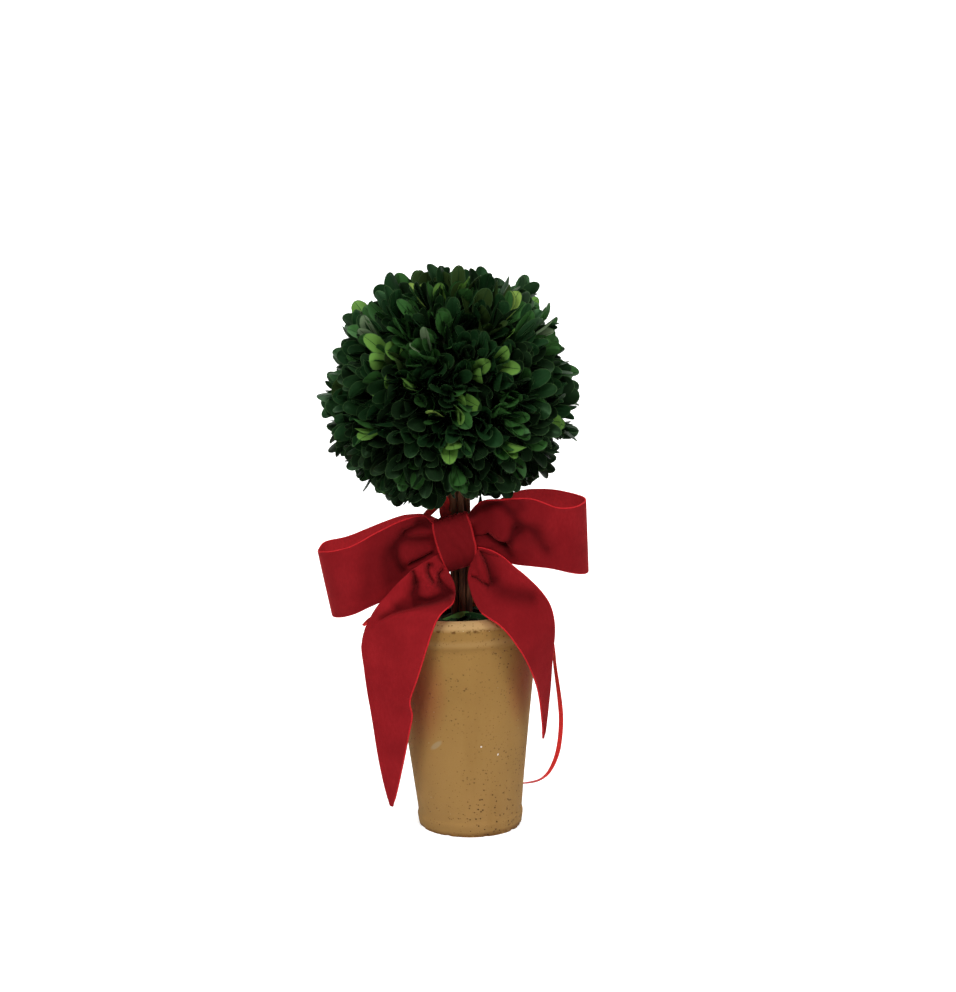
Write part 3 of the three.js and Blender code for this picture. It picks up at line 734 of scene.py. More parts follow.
def growCrown():  # sprigs point out of the ball, each with pairs of leaves that open like a fan or a cross
    random, shade = np.random.default_rng(crown["seed"]), np.random.default_rng(crown["seed"] + 1)
    byTint, twigs = {}, []
    directions = sprigDirections(random, crown["sprigs"])
    picked = lightSprays(directions)
    for i, direction in enumerate(directions):
        tint = sprigTint(random, direction)
        if direction[1] < 0:
            tint = picked.get(i, crown["plainer"].get(tint, tint))
        # painted shade: sprigs low on the ball take darker tints
        if direction[2] < crown["lowSprigs"] and i not in picked:
            tint = crown["paintedShadeBelow"].get(tint, tint)
        axis = unit(direction + random.normal(0, crown["tilt"] / 2, 3))
        tip = (np.array(crown["centre"])
               + direction * random.uniform(*crown["tipShare"]) / crownShare(direction))
        fan = unit(np.cross(axis, random.normal(0, 1, 3)))
        wide = np.cross(axis, fan)
        flat = random.uniform() < crown["flatShare"]
        twigTip = tip - axis * crown["leafLength"][0]
        twigs.append((twigTip - axis * (crown["pairs"] * crown["pairGap"] + 8), twigTip))
        for pair in range(crown["pairs"]):
            spread, other = (fan, wide) if flat or pair % 2 == 0 else (wide, fan)
            for half in (1, -1):
                angle = math.radians(crown["leafAngle"][pair]) + random.normal(0, crown["angleSpread"])
                length = crown["leafLength"][pair] * random.uniform(*crown["lengthShare"])
                heading = unit(axis * math.cos(angle) + spread * half * math.sin(angle)
                               + other * random.normal(0, crown["aside"]))
                face = (axis * math.sin(angle) - spread * half * math.cos(angle)
                        + other * random.normal(0, crown["faceSpread"]))
                root = twigTip - axis * pair * crown["pairGap"] + spread * half * 0.5
                width = length * crown["slimness"] * random.uniform(*crown["widthShare"])
                cup, bend = random.uniform(*crown["cup"]), random.uniform(*crown["bend"])
                odd = random.uniform() < crown["oddShare"]
                leafTint = random.choice(["deep", "cool", "fresh"]) if odd else tint
                if tint in ("bright", "yellow", "pale"):
                    leafTint = (tint, "fresh", "cool", "deep")[pair]
                elif shade.uniform() < crown["paintedInnerShade"][pair]:  # painted shade: leaves deeper in the ball are darker
                    leafTint = "deep"
                if inCrown(root + heading * length * np.array([[0.5], [1.0]])).all():
                    leaf = leafRecord(root, heading, face, length, width, cup, bend)
                    byTint.setdefault(leafTint, []).append(leaf)
    return byTint, twigs


def makeTwigs(twigs):  # five-sided twigs that taper to their tips
    lines = [np.array([foot, tip, tip + unit(tip - foot) * 0.5]) * mm for foot, tip in twigs]
    radii = np.array([1.0, 0.55, 0.05]) * crown["twigRadius"] * mm
    piece = tubes("crownTwigs", lines, radii, 5, (0.3, 0.5, 0.81))
    smoothShade(piece, 80)
    green = Finish("green twig", (0.05, 0.06, 0.025), 0.7, 0.3).material
    settle(piece, "crownTwigs", green, "leaves", "crown")


def makeCrownCore():  # the mossy ball behind the sprigs, near black as painted shade deep inside the crown
    deselectAll()
    bpy.ops.mesh.primitive_ico_sphere_add(subdivisions=5, radius=1)
    piece = bpy.context.object
    directions = unit(vertexArray(piece))
    radius = crown["coreShare"] / crownShare(directions) + tuftHeights(crown["coreTufts"], directions)
    setVertices(piece, (np.array(crown["centre"]) + directions * radius[:, None]) * mm)
    smoothShade(piece)
    moss = mottledFinish("moss core", (0.006, 0.012, 0.005), 0.95, 0.1, (0.004, 0.009, 0.004),
                         (0.014, 0.022, 0.008), 220.0)
    settle(piece, "crownCore", moss, "leaves", "crown")


def makeCrown():
    byTint, twigs = growCrown()
    byTint["deep"] += [leafRecord(*stray, cup=0.3, bend=0.1) for stray in crown["strays"]]
    dressLeaves(byTint, "crownLeaves", leafFinish, "crown")
    makeTwigs(twigs)
    makeCrownCore()
    print("crown grown:", sum(len(leaves) for leaves in byTint.values()), "leaves")


makeCrown()


# Stems: a bundle of dark twigs with the bark's relief
stems = {"ring": 6, "footRadius": 2.05, "topRadius": 1.85, "ringRadius": 4.7, "footSplay": 0.8,
         "splayHeight": 16, "twist": 0.25, "fillTop": 121.5, "sides": 20, "rings": 110,
         "girth": 0.97, "ridges": 0.1, "cracks": 0.06, "knobs": 0.35, "loose": 2, "looseLean": 1.9}


def barkFinish():
    bark = Finish("twig bark", (0.05, 0.018, 0.009), 0.8, 0.2)
    grain = bark.group("mottle", bark.place(scale=(1, 1, 0.12)), First=(0.026, 0.0105, 0.006),
                       Second=(0.168, 0.068, 0.034), Scale=620.0, Low=0.36, High=0.7)
    patch = bark.group("mottle", bark.place(), Scale=90.0, Low=0.45, High=0.75)
    color = bark.over(grain["Color"], (0.042, 0.015, 0.0085), patch["Mask"])
    paintedLightAtTop = bark.ramp(bark.heightOf(bark.place()), 182 * mm, 197 * mm)  # painted light: the bark is lighter towards the top, where the crown's shade falls
    color = bark.over(color, (0.28, 0.115, 0.058), paintedLightAtTop, 0.65)
    bark.set(**{"Base Color": color, "Normal": bark.relief(grain["Mask"], 0.35, 0.8)})
    return bark.material


def makeStem(index, name, material):
    _, footZ, _, topZ = crown["stemLine"]
    deselectAll()
    bpy.ops.mesh.primitive_cylinder_add(vertices=stems["sides"], radius=1, depth=1, end_fill_type="TRIFAN")
    piece = bpy.context.object
    editEdges(piece, lambda low, high: abs(low.z - high.z) > 0.5)
    bpy.ops.mesh.subdivide(number_cuts=stems["rings"])
    leaveEdit()
    places = vertexArray(piece)
    share = places[:, 2] + 0.5
    z = footZ + (topZ - footZ) * share
    around = np.arctan2(places[:, 1], places[:, 0])

    def barkNoise(lobes, shiftX, shiftY, run):  # unevenness round the twig and along it
        return np.array([noise.noise(Vector((math.cos(a) * lobes + shiftX, math.sin(a) * lobes + shiftY,
                                             h * run))) for a, h in zip(around, z)])

    relief = stems["ridges"] * barkNoise(2.2, 0, index * 5.3, 0.06)
    relief += stems["cracks"] * barkNoise(4.5, index * 3.1, 0, 0.22)
    knobs = np.array([max(0.0, noise.noise(Vector((index * 7.7, 2.0, h * 0.055))) - 0.25) for h in z])
    relief += stems["knobs"] * knobs * np.cos(around + index) ** 2
    taper = stems["footRadius"] + (stems["topRadius"] - stems["footRadius"]) * share
    girth = np.hypot(places[:, 0], places[:, 1]) * taper * (stems["girth"] + relief)
    splay = stems["footSplay"] * np.clip(1 - (z - stems["fillTop"]) / stems["splayHeight"], 0, None)
    ringRadius = 0 if index < 0 else stems["ringRadius"] + splay
    turn = (index + 0.5) / stems["ring"] * 2 * math.pi + stems["twist"] * share
    x = stemLineX(z) + ringRadius * np.cos(turn) + girth * np.cos(around)
    if index == stems["loose"]:  # one twig on the left stands off the bundle higher up
        x = x - stems["looseLean"] * share
    y = ringRadius * np.sin(turn) + girth * np.sin(around)
    setVertices(piece, np.stack([x, y, z], 1) * mm)
    smoothShade(piece)
    settle(piece, f"twig-{name}", material, "bark", f"stem_{name}")


def makeStems():
    material = barkFinish()
    makeStem(-1, "middle", material)
    for i in range(stems["ring"]):
        makeStem(i, str(i + 1), material)


makeStems()
print("stems bound")


# Dried leaves strewn over the filling
mulch = {"low": 123.3, "inner": 8.2, "outer": 34.8, "thickness": 2.6, "mound": 5.5, "moundRings": 12,
         "leaves": 120, "leafTurn": 2.39996, "seed": 23, "leafLength": (13, 20), "slimness": 0.5,
         "cup": (0.05, 0.3), "bend": (0.0, 0.15), "rise": (0.02, 0.32), "tilt": 0.3, "seat": 0.3,
         "tufts": {"scale": 260, "height": 1.1, "sink": 0.6},
         # two greener leaves in front, the grass tint lighter than the leaf's own green as painted light
         # against the shade of the bow and stems: length and width of both, then tint, root and turn of each
         "greenSize": (19, 9),
         "green": [("grass", (-16.5, -17.5, 131.0), 0.2), ("cool", (13.5, -18.5, 130.4), 2.9)]}


def moundHeight(radius):
    return mulch["low"] + mulch["thickness"] + mulch["mound"] * (1 - radius / mulch["outer"])


def makeMulch():
    random = np.random.default_rng(mulch["seed"])
    middle = stemLineX(mulch["low"])
    byTint = {}
    for i in range(mulch["leaves"]):
        angle = i * mulch["leafTurn"] + random.uniform(0, 1)
        radius = mulch["inner"] + 1 + (mulch["outer"] - mulch["inner"] - 5) * math.sqrt(random.uniform(0, 1))
        heading = angle + math.pi * random.uniform(-0.6, 0.6)
        root = np.array([middle + radius * math.cos(angle), radius * math.sin(angle),
                         moundHeight(radius) + mulch["seat"]])
        length = random.uniform(*mulch["leafLength"])
        ahead = np.array([math.cos(heading), math.sin(heading), random.uniform(*mulch["rise"])])
        end = root + ahead * length
        if not mulch["inner"] + 0.5 < math.hypot(end[0] - middle, end[1]) < mulch["outer"] - 1:
            continue
        tint = random.choice(["deep", "dark", "cool", "olive"], p=[0.35, 0.35, 0.2, 0.1])
        face = (random.normal(0, mulch["tilt"]), random.normal(0, mulch["tilt"]), 1)
        leaf = leafRecord(root, ahead, face, length, length * mulch["slimness"],
                          random.uniform(*mulch["cup"]), random.uniform(*mulch["bend"]))
        byTint.setdefault(tint, []).append(leaf)
    for tint, root, turn in mulch["green"]:
        ahead = (math.cos(turn), math.sin(turn) * 0.3, 0.08)
        leaf = leafRecord(root, ahead, (0, -0.7, 0.8), *mulch["greenSize"], 0.15, 0.05)
        byTint.setdefault(tint, []).append(leaf)
    dressLeaves(byTint, "mulchLeaves", dryFinish, "leaf_mulch")
    makeMoss(middle)


def makeMoss(middle):  # the dark mound that the leaves lie on
    deselectAll()
    radius, steps = mulch["outer"], mulch["moundRings"]
    bpy.ops.mesh.primitive_circle_add(vertices=72, radius=radius * mm, fill_type="NOTHING",
                                      location=(0, 0, 0))
    piece = bpy.context.object
    editAll()
    bpy.ops.transform.translate(value=(0, 0, mulch["low"] * mm))
    extrudeUp(mulch["thickness"] * mm)
    for i in range(1, steps + 1):
        nextRadius = mulch["outer"] + (mulch["inner"] - mulch["outer"]) * i / steps
        extrudeRing(moundHeight(nextRadius) - moundHeight(radius), nextRadius / radius)
        radius = nextRadius
    extrudeUp((mulch["low"] - moundHeight(radius)) * mm)
    faceOutwards()
    smoothen(piece, 1)
    places = vertexArray(piece)
    places[:, 2] += tuftHeights(mulch["tufts"], places) * mm
    places[:, 0] += middle * mm
    setVertices(piece, places)
    smoothShade(piece)
    moss = mottledFinish("dry moss", (0.012, 0.014, 0.006), 0.95, 0.1, (0.008, 0.009, 0.004),
                         (0.03, 0.03, 0.012), 300.0)
    settle(piece, "mossMound", moss, "leaves", "leaf_mulch")


def paintFilling():
    foam = mottledFinish("dry foam", (0.05, 0.035, 0.022), 0.95, 0.1, (0.03, 0.02, 0.012), (0.07, 0.05, 0.03),
                         400.0)
    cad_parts["filling"].data.materials.clear()
    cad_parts["filling"].data.materials.append(foam)


makeMulch()
paintFilling()
print("pot filled")


# Velvet bow: two loops, a knot and two tails of one ribbon, with a bright woven edge
ribbon = {"thickness": 1.0, "gatherReach": 20, "pleat": 1.6, "edgeRadius": 0.55, "paintedShadeNearKnot": 0.36,
          "loopTilt": 10.5, "loopStart": 1.9, "edgeTaper": 8,
          # along a loop: where folds begin to show, and where the painted shade near the knot ends
          "foldStart": (8, 17), "shadeEnd": (26, 60)}
knot = {"centre": (-9.5, -14.9, 178.5), "width": 20.5, "depth": 14.4, "squareness": 0.6, "belly": 0.8,
        "edgeStoutness": 1.4,
        # the band's two edges down its face, across and up
        "left": [(-22.4, 190.9), (-21.3, 183.4), (-19, 174.7), (-16.3, 167.4), (-13, 160.1)],
        "right": [(-2.4, 195.9), (0.1, 188.8), (1.9, 181.4), (3.3, 174.7), (2.2, 164.7)]}
loops = {
    # edges: distance out from the knot and height; puffs: place, sizes and height;
    # creases: depth, width, painted shade and path; folds: rise on the left of a path, drop on its right,
    # softness, sizes of both sides, painted shade under the fold and path
    "left": {
        "side": -1, "length": 80.5, "halfDepth": 15, "droop": 20.5, "lean": 10.2, "lift": 2.6,
        "frontTop": [(0, 7), (8.7, 11.5), (10, 13), (11.2, 15.4), (12.9, 18.4), (16.8, 20.5), (22, 22.2),
                     (28.7, 23.3), (38, 23.1), (46, 22.4), (52, 21.4), (59, 20.7), (65, 20.9), (71.3, 21.2),
                     (77.6, 21.6), (80.5, 20.6)],
        "frontBottom": [(0, -8), (12, -13), (25, -17), (40, -18.6), (50, -18.5), (58, -19), (64, -19.8),
                        (72, -20.2), (80.5, -20.2)],
        "backTop": [(0, 6.5), (12.6, 17.2), (24, 19.3), (40, 18.8), (48, 18.2), (54, 17.8), (60, 17.6),
                    (66, 18.2), (71, 19.6), (75, 21), (78, 21.6), (80.5, 20.6)],
        "backBottom": [(0, -8), (15, -15), (30, -19), (55, -20.3), (80.5, -20.2)],
        "puffs": [(22.6, 0.2, 9, 4.5, 1.8), (64, 0, 12, 18, 1.2)],
        "creases": [(3.0, 2.1, 0.75, [(11.2, 11.9), (15.4, 14.4), (19.5, 15.6), (22.9, 15.6), (26.2, 15.7)]),
                    (1.0, 2.3, 0.6, [(11.5, 14.2), (14, 16.4), (17.5, 17.8)]),
                    (-1.4, 1.7, 0, [(13.7, 8.6), (19.3, 12.2), (24.5, 13.6)]),
                    (1.6, 2.7, 0.5, [(14.4, 4.4), (19.5, 7.4), (24, 10.3), (27.6, 11.8)]),
                    (2.2, 2.5, 0.55, [(27.6, 13.9), (31, 11.7), (33.1, 7.9), (33.5, 3.7), (32.6, -1.5),
                                      (30.8, -6)]),
                    (4.2, 1.3, 1.0, [(26.9, -3.8), (23.1, -4.4), (19.5, -4.8), (15.6, -4.8), (12.9, -4.7)]),
                    (1.8, 5.0, 0.42, [(37.3, 9.3), (39.5, 5.5), (40.8, 1), (40.6, -3.9), (40, -9)]),
                    (0.8, 5, 0.28, [(49.6, 10.3), (51.9, 1.6), (53, -5.7), (56, -11)])],
        "folds": [(1.2, 0.8, 2.0, 8, 6, 0.3, [(30.8, -6), (32.6, -1.5), (33.5, 3.7), (33.1, 7.9), (31, 11.7),
                                              (27.6, 13.9)])],
    },
    "right": {
        "side": 1, "length": 77.3, "halfDepth": 15, "droop": 0.8, "lean": -3, "lift": 3.6,
        "frontTop": [(0, 7), (7.2, 12.4), (8.6, 14.8), (10, 16.8), (13.5, 20.6), (16.2, 22.6), (18.9, 23.9),
                     (24.2, 25.2), (32.2, 26.8), (36.6, 27.5), (41, 28), (44.8, 27.9), (49.4, 26.7),
                     (53.8, 25), (58.3, 23.2), (62.8, 22.3), (67.5, 22.1), (71.8, 22.2), (74.6, 22.7),
                     (77.3, 22.9)],
        "frontBottom": [(0, -7), (12, -9), (22, -11.5), (33, -13.4), (45, -13.8), (56, -14.9), (67, -18.2),
                        (77.3, -21.6)],
        "backTop": [(0, 8), (12, 14), (26, 18.6), (37.5, 23), (42.5, 23.8), (49.5, 24), (58.5, 23.8),
                    (68.5, 22.9), (73.5, 22.7), (77.3, 22.9)],
        "backBottom": [(0, -7), (15, -14), (30, -19), (55, -20.5), (77.3, -21.6)],
        "puffs": [(21.8, 10.7, 11, 8, 2.0), (28.5, 1.5, 5, 4, 1.0), (42.3, 3.2, 4, 7.5, 1.4),
                  (63, -2, 9, 16, 1.2)],
        "creases": [(2.6, 2.3, 0.75, [(9.6, 13.9), (12.2, 17.3), (16.4, 19.5), (20.4, 22), (24.5, 24)]),
                    (2.0, 3.6, 0.56, [(26.5, 24.2), (29.9, 21.1), (33.1, 17.7), (35.5, 13.6), (36.4, 10.1)]),
                    (1.0, 0.6, 0.6, [(9.9, 0.2), (14.1, 1.4), (18.1, 2.5)]),
                    (4.0, 1.7, 1.0, [(18.8, 2.7), (20.9, 1.2), (23.1, -0.4), (25.9, -1.6), (28.5, -2.3)]),
                    (2.2, 2.7, 0.65, [(29, -2.4), (31, -0.3), (32.9, 3.5), (35.3, 7.4)]),
                    (1.6, 3.4, 0.5, [(35.3, 7.9), (39.3, 9.7), (43.3, 9.6), (46.4, 7.1), (47.8, 3.8),
                                     (49.4, -0.4), (51.6, -3.2)]),
                    (1.6, 2.8, 0.5, [(28.5, -2.6), (29.2, -5.8), (31, -8.5)]),
                    (0.6, 6, 0.26, [(42, 2), (48.7, 9), (53.2, 2.2), (55.4, -6)]),
                    (1.0, 3.6, 0.3, [(37.4, 26), (38.4, 21.2)])],
        "folds": [(1.4, 1.2, 0.8, 8, 4, 0.3, [(9.9, 0), (14.1, 1.2), (18.8, 2.6), (20.9, 1.1), (23.1, -0.5),
                                              (25.9, -1.7), (28.5, -2.4)])],
    },
}
tails = {
    # folds as seen from the front, by x and z; rims: where the bright edges show along the two sides
    "left": {
        "rims": ((0.52, 0.998), (0.3, 0.998)),
        "outer": [(-13, -12, 170), (-18.1, -17, 171), (-25.5, -25.5, 168), (-33, -33, 164.5),
                  (-40.6, -37, 158.4), (-48.5, -38.2, 150), (-55.6, -37.5, 141.5), (-61.4, -33, 130.3),
                  (-64.3, -29.5, 118.4), (-62.9, -28.5, 103), (-61, -28, 88), (-59.4, -28, 78.5),
                  (-57.5, -28, 66), (-55.3, -27.5, 50.5), (-52.2, -27, 34), (-48.4, -27, 18.6)],
        "inner": [(-11.5, -13, 163), (-13.4, -18.5, 161.7), (-11.7, -22.5, 158), (-9.6, -27, 154.3),
                  (-8.7, -33, 150.4), (-10.2, -41, 145.6), (-16.4, -48, 141.2), (-20.4, -50.5, 135.1),
                  (-25, -51, 121.5), (-30.6, -48.5, 103), (-35.3, -45.5, 88), (-34.2, -43.5, 78.5),
                  (-36.4, -41, 66), (-39.4, -36.5, 50.5), (-43.3, -31.5, 32), (-46.6, -28.4, 18.2)],
        "puffs": [(-24, 150.5, 4, 3.2, 1.0)],
        "creases": [(3.6, 1.1, 1.0, [(-25, 165.5), (-25, 162), (-24, 159.3), (-22, 156.4)]),
                    (2.0, 1.4, 0.7, [(-24.4, 165.3), (-22.5, 165.3)]),
                    (3.6, 1.2, 1.0, [(-17, 161.8), (-19, 160.2), (-18.8, 158), (-17.5, 155.2)]),
                    (2.4, 2.6, 0.9, [(-17.5, 155.2), (-15.4, 152.7), (-12.8, 150.2)]),
                    (3.0, 1.5, 0.95, [(-33.5, 162.7), (-32.5, 159.4), (-32, 156)]),
                    (2.4, 2.8, 0.9, [(-32, 156.7), (-32, 153.6), (-33, 151)]),
                    (2.0, 3.4, 0.55, [(-42.3, 143.5), (-36.3, 146), (-30.5, 147)]),
                    (2.0, 2.6, 0.75, [(-30.4, 145.8), (-24.4, 146.2), (-18.4, 147.8), (-13, 148.3)]),
                    (0.4, 5.0, 0.3, [(-32, 152), (-24, 151), (-15, 152)]),
                    (-1.8, 1.4, 0, [(-27.8, 165.2), (-27.4, 160.3), (-25, 155.8), (-21.5, 154.3),
                                    (-19.8, 156.2), (-20.7, 159.7), (-19, 163), (-17.3, 164.5)]),
                    (-1.2, 1.1, 0, [(-16.4, 159.7), (-15.5, 157), (-12.7, 154)]),
                    (-1.5, 4.5, 0, [(-36.5, 161), (-41, 153.6), (-46.3, 146.5), (-52, 138.5)])],
        "folds": [(1.8, 2.4, 0.8, 14, 3.6, 0.7, [(-10.8, 148.2), (-16.8, 146), (-21.4, 144.8), (-27.2, 143.9),
                                                 (-33, 142), (-40, 140.2), (-46, 138), (-50, 135.6)])],
    },
    "right": {
        "rims": ((0.06, 0.998), (0.5, 0.998)),
        "outer": [(-2, -12, 174), (1.9, -17, 174.7), (7.4, -21.5, 174.8), (13.5, -26, 173.6),
                  (19.5, -29, 170.6), (25.5, -31, 165.6), (32.6, -32.5, 160), (40.6, -33, 152.2),
                  (46.4, -32.5, 144), (49.2, -31.5, 135.1), (49.9, -30.5, 125), (48.7, -29, 110),
                  (47.7, -27, 91.5), (45.4, -24.5, 66.5), (44.2, -24, 59.8)],
        "inner": [(-3, -12, 168.5), (2.2, -17, 170), (0.6, -20, 165.2), (-0.9, -22.8, 160.2),
                  (-1.2, -25.5, 156.8), (-0.2, -29.5, 152.4), (2.2, -36, 146), (6.1, -42, 140.8),
                  (10.8, -46.6, 138), (17.6, -50, 133.9), (24.6, -50.5, 126.3), (33.2, -46.5, 112),
                  (40, -38.5, 93), (43.2, -28, 70), (43.6, -25, 59.4)],
        "puffs": [(38, 122, 9, 12, 1.4)],
        "creases": [(3.0, 1.1, 0.9, [(6.2, 172.5), (8.4, 169), (10.2, 165), (11.5, 160), (12.5, 155.7)]),
                    (1.2, 3.0, 0.55, [(9.2, 170.4), (11.8, 165), (14.7, 158.4)]),
                    (1.2, 0.7, 0.6, [(7.3, 173), (11.5, 172), (16.2, 171)]),
                    (2.4, 1.0, 0.9, [(1.4, 158.4), (4.2, 157.8), (7.3, 155.8), (10.4, 154)]),
                    (-1.8, 2.4, 0, [(4, 170.6), (5.5, 165), (8, 159)]),
                    (2.8, 5.0, 0.68, [(14, 154.5), (20, 151.2), (26, 149.2), (31, 148.2), (35.5, 147.4)]),
                    (-1.4, 4.0, 0, [(20, 168), (27.4, 161.5), (33.5, 155), (38.6, 148.5), (40.5, 142)])],
        "folds": [],
    },
}


def shaded(share, *color):
    return tuple(value * share for value in color)


def velvetFinish(name, depth):  # depth: how light this copy is; lighter and darker copies are painted light and shade
    velvet = Finish(name, shaded(depth, 0.2, 0.008, 0.011), 0.95, 0.06)
    velvet.set(**{"Sheen Weight": 0.4, "Sheen Roughness": 0.42, "Sheen Tint": (1.0, 0.085, 0.09, 1)})
    nap = velvet.group("mottle", velvet.place(), First=shaded(depth, 0.222, 0.0088, 0.012),
                       Second=shaded(depth, 0.165, 0.0055, 0.008), Scale=60.0, Low=0.3, High=0.72)
    brushed = velvet.group("mottle", velvet.place(scale=(1, 1, 0.4)), Scale=900.0, Low=0.3, High=0.75)
    color = velvet.over(nap["Color"], shaded(depth, 0.12, 0.0035, 0.0055), brushed["Mask"], 0.4)
    paintedShadeNode = velvet.nodes.new("ShaderNodeAttribute")  # painted shade: the velvet is darker deep in the folds and near the knot
    paintedShadeNode.attribute_name = "paintedShade"
    color = velvet.over(color, (0.028, 0.0006, 0.0013), paintedShadeNode.outputs["Fac"], 0.84)
    pile = velvet.node("ShaderNodeTexNoise", Vector=velvet.place(), Scale=2600.0, Detail=2.0)
    velvet.set(**{"Base Color": color, "Normal": velvet.relief(pile.outputs["Fac"], 0.3, 0.55)})
    return velvet.material


def wovenEdgeFinish(name, red):
    return mottledFinish(name, shaded(red, 0.5, 0.014, 0.02), 0.8, 0.12, shaded(red, 0.57, 0.016, 0.022),
                         shaded(red, 0.43, 0.011, 0.015), 1400.0, (0.15, 0.6))


# painted light and shade: lighter copies on the tails, the left one most, and darker ones on the knot and its
# edge under the crown
velvetRed = velvetFinish("red velvet", 1.08)
tailReds = {"left": velvetFinish("left tail velvet", 1.31), "right": velvetFinish("right tail velvet", 1.09)}
shadedKnotRed = velvetFinish("knot velvet", 0.75)
wovenRed, shadedKnotEdgeRed = wovenEdgeFinish("woven edge", 1.0), wovenEdgeFinish("knot edge", 0.68)
# the reverse weave is lighter of itself; its colour is raised further as painted light inside the shaded
# loops
backingRed = mottledFinish("ribbon backing", (0.5, 0.023, 0.03), 0.75, 0.15, (0.54, 0.024, 0.032),
                           (0.455, 0.019, 0.0255), 700.0, (0.1, 0.4))  # the plain weave on the reverse


def loopPoints(loop, u, v):
    tilt, drop, turn = (math.radians(angle) for angle in (ribbon["loopTilt"], loop["droop"], loop["lean"]))
    out = np.array([loop["side"] * math.cos(drop), 0, -math.sin(drop)])
    back = np.array([0, math.cos(tilt), math.sin(tilt)])
    up = unit(np.array([loop["side"] * math.sin(turn), 0, math.cos(turn)]) - back * math.sin(tilt))
    start = np.array(knot["centre"]) + np.array([loop["side"] * ribbon["loopStart"], 0, loop["lift"]])
    reach = loop["length"] * np.sin(np.pi * u)
    opened = smoothStep(reach - knot["width"] * 0.4, 0, ribbon["gatherReach"])
    front = u < 0.5
    top, bottom = (np.where(front, curveThrough(loop[f"front{edge}"], reach),
                            curveThrough(loop[f"back{edge}"], reach)) for edge in ("Top", "Bottom"))
    height = bottom + (top - bottom) * (v + 0.5)
    swell = loop["halfDepth"] * (0.35 + 0.65 * opened) * np.sin(2 * np.pi * u) + 1.3 * np.cos(np.pi * u)
    folds, paintedShade = folded(loop, reach, height)
    folds = folds * smoothStep(reach, *ribbon["foldStart"]) * (1 - 0.8 * np.abs(2 * v) ** 8)
    # painted shade: the loops darken towards the knot, where the crown's shade falls
    paintedShade = np.clip(paintedShade + ribbon["paintedShadeNearKnot"] * (1 - smoothStep(reach, *ribbon["shadeEnd"])), 0, 1)
    swell = swell + np.where(front, folds, -0.35 * folds)
    pleat = ribbon["pleat"] * (1 - opened) * np.cos(3 * np.pi * v)
    places = (start + reach[:, None] * out + (pleat - swell)[:, None] * back + height[:, None] * up) * mm
    return places, paintedShade * front


def tailPoints(tail, u, v):  # folds rise towards the front
    outer, inner = smoothPath(tail["outer"], u), smoothPath(tail["inner"], u)
    flat = (outer + (inner - outer) * (v[:, None] + 0.5)) * mm
    folds, paintedShade = folded(tail, flat[:, 0] / mm, flat[:, 2] / mm)
    folds = folds * smoothStep(u, 0.04, 0.14)
    return flat + (folds * mm)[:, None] * np.array([0, -0.99, 0.13]), paintedShade


def knotPoints(u, v):  # round the band, then across it
    angle = 2 * np.pi * u
    depth, height = (np.sign(wave) * np.abs(wave) ** knot["squareness"]
                     for wave in (np.cos(angle), np.sin(angle)))
    left, right = smoothPath(knot["left"], (1 - height) / 2), smoothPath(knot["right"], (1 - height) / 2)
    flat = left + (right - left) * (v[:, None] + 0.5)
    creases = 0.5 * np.sin(9 * v + 2.5 * height) * np.cos(3 * v) + 0.3 * np.sin(17 * v + 5 * height)
    belly = knot["belly"] * (1 - (2 * v) ** 2) + creases
    teeth = 2 * np.abs((v * 7 + 0.3) % 1 - 0.5) * np.clip(height, 0, 1) ** 6
    y = knot["centre"][1] - depth * (knot["depth"] / 2 - 0.6 + belly)
    places = np.stack([flat[:, 0], y, flat[:, 1] - teeth], 1) * mm
    # painted shade: the knot's band is darker towards its bottom
    return places, 0.5 * smoothStep(-height, 0.4, 0.95)


def ribbonPiece(points, uSteps, vSteps, materials, closed=False, thickness=ribbon["thickness"]):
    deselectAll()
    bpy.ops.mesh.primitive_grid_add(x_subdivisions=uSteps, y_subdivisions=vSteps, size=1, location=(0, 0, 0))
    piece = bpy.context.object
    flat = vertexArray(piece)
    places, paintedShade = points(flat[:, 0] + 0.5, flat[:, 1])
    setVertices(piece, places)
    piece.data.attributes.new("paintedShade", "FLOAT", "POINT").data.foreach_set("value", paintedShade)
    for material in materials:
        piece.data.materials.append(material)
    if closed:
        editAll()
        bpy.ops.mesh.remove_doubles(threshold=0.01 * mm)
        leaveEdit()
    wall = piece.modifiers.new("thickness", "SOLIDIFY")
    wall.thickness = thickness * mm
    wall.offset = 0
    wall.material_offset = 1
    applyModifiers(piece)
    smoothShade(piece, 50)
    return piece


def makeEdges(name, node, points, steps, spans=((0.0, 1.0), (0.0, 1.0)), stout=1.0, finish=wovenRed):
    lines = [points(np.linspace(*span, steps), np.full(steps, v))[0] for span, v in zip(spans, (-0.5, 0.5))]
    place = np.arange(steps)
    taper = np.clip(np.minimum(place, place[::-1]) / ribbon["edgeTaper"], 0.03, 1)  # ends run to a point
    piece = tubes(name, lines, ribbon["edgeRadius"] * stout * mm * taper, 6, (0.21, 0.93, 0.3))
    smoothShade(piece, 80)
    settle(piece, name, finish, "velvet", node)


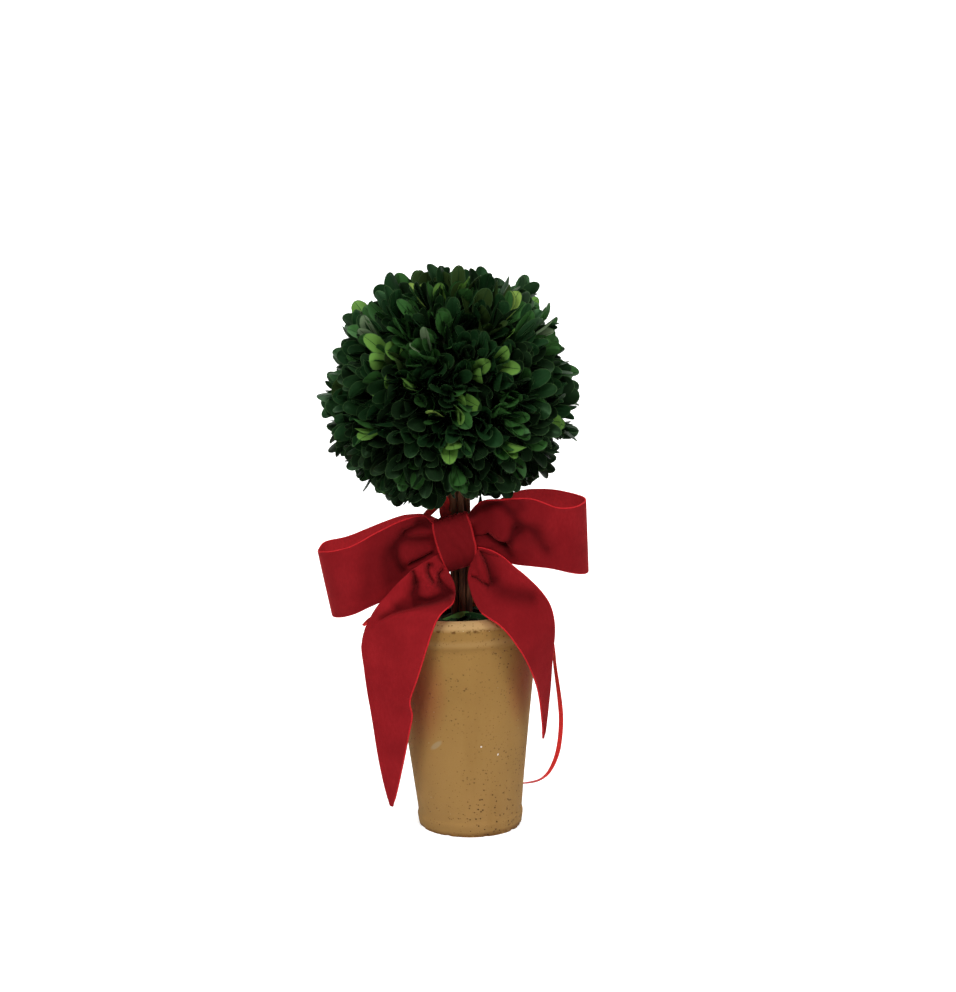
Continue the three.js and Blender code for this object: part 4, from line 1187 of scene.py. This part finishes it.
def makeBow():
    for side in loops:
        loopShape = lambda u, v: loopPoints(loops[side], u, v)
        faces = (velvetRed, backingRed) if side == "right" else (backingRed, velvetRed)
        settle(ribbonPiece(loopShape, 260, 76, faces), f"bowLoop-{side}", None, "velvet", f"bow_loop_{side}")
        makeEdges(f"bowLoopEdge-{side}", f"bow_loop_{side}", loopShape, 200)
        tailShape = lambda u, v: tailPoints(tails[side], u, v)
        faces = (backingRed, tailReds[side]) if side == "right" else (tailReds[side], backingRed)
        settle(ribbonPiece(tailShape, 300, 84, faces), f"bowTail-{side}", None, "velvet", f"bow_tail_{side}")
        makeEdges(f"bowTailEdge-{side}", f"bow_tail_{side}", tailShape, 200, tails[side]["rims"])
    band = ribbonPiece(knotPoints, 120, 40, (shadedKnotRed, shadedKnotRed), closed=True)
    settle(band, "bowKnot", None, "velvet", "bow_knot")
    makeEdges("bowKnotEdge", "bow_knot", knotPoints, 120, ((0.5, 1.5), (0.5, 1.5)), knot["edgeStoutness"],
              shadedKnotEdgeRed)


makeBow()
print("bow tied")


# Satin tie: a narrow ribbon round the stems with two loose ends
tie = {"ringWidth": 3.8, "thickness": 0.3, "height": 189, "radius": 7.1}
tieEnds = {
    # widths and turns are spread evenly along the path
    "left": {"width": (6.2, 5.4, 4.0, 3.6, 3.4), "turn": (0.1, 0.1, 0.4, 0.8, 1.15),
             "path": [(-13.6, -4, 187), (-15.8, -4, 195), (-15.4, -2.4, 200), (-17.6, -0.6, 202),
                      (-20.2, 0.4, 198.2), (-23.5, 1, 194.7), (-27.2, 3, 190.5), (-33.5, 9, 181),
                      (-39, 13, 166), (-43, 10, 149), (-49, 1, 138.5), (-56.5, -11, 132.2),
                      (-61.2, -16.5, 129.9), (-64.2, -18.5, 127.3)]},
    "right": {"width": (3.6, 3.6, 3.6, 3.4, 1.5), "turn": (1.4, 1.4, 1.25, 0.75, 0.8, 1.45, 1.57),
              "path": [(1.5, 2.4, 187.5), (10, 14, 181), (22, 19, 161), (35.5, 14, 139.5), (48.8, 5, 119),
                       (52.2, 1, 96), (55.2, 1, 74), (55.8, 1, 60), (54, 1.6, 44), (49.4, 3, 31.6),
                       (43.4, 5, 25), (36, 11, 21), (29, 16, 19)]},
}


def tiePoints(end, u, v):
    path = lambda t: smoothPath(end["path"], t)
    along = unit(path(np.clip(u + 2e-3, 0, 1)) - path(np.clip(u - 2e-3, 0, 1)))
    flat = unit(np.cross(along, (0, -1, 0)))
    depth = np.cross(along, flat)
    turn = alongSpan(end["turn"], u)
    across = flat * np.cos(turn)[:, None] + depth * np.sin(turn)[:, None]
    return (path(u) + across * (v * alongSpan(end["width"], u))[:, None]) * mm, np.zeros(len(u))


def tieRingPoints(u, v):
    angle = 2 * np.pi * u
    radius = tie["radius"] + 0.12 * np.sin(3 * angle) + 0.9 * np.clip(-np.cos(angle), 0, 1) ** 3
    places = np.stack([stemLineX(tie["height"]) + radius * np.cos(angle), radius * np.sin(angle),
                       tie["height"] + v * tie["ringWidth"] + 0.2 * np.sin(2 * angle)], 1) * mm
    return places, np.zeros(len(u))


def makeTie():
    satin = mottledFinish("red satin", (0.72, 0.031, 0.031), 0.45, 0.25, (0.78, 0.036, 0.034),
                          (0.63, 0.025, 0.025), 500.0, (0.08, 0.4))
    ring = ribbonPiece(tieRingPoints, 96, 8, (satin, satin), closed=True, thickness=tie["thickness"])
    settle(ring, "tieRing", None, "satin", "tie_ring")
    for side, end in tieEnds.items():
        piece = ribbonPiece(lambda u, v: tiePoints(end, u, v), 260, 8, (satin, satin),
                            thickness=tie["thickness"])
        settle(piece, f"tieEnd-{side}", None, "satin", f"tie_end_{side}")


makeTie()
print("tie wound")

deselectAll()
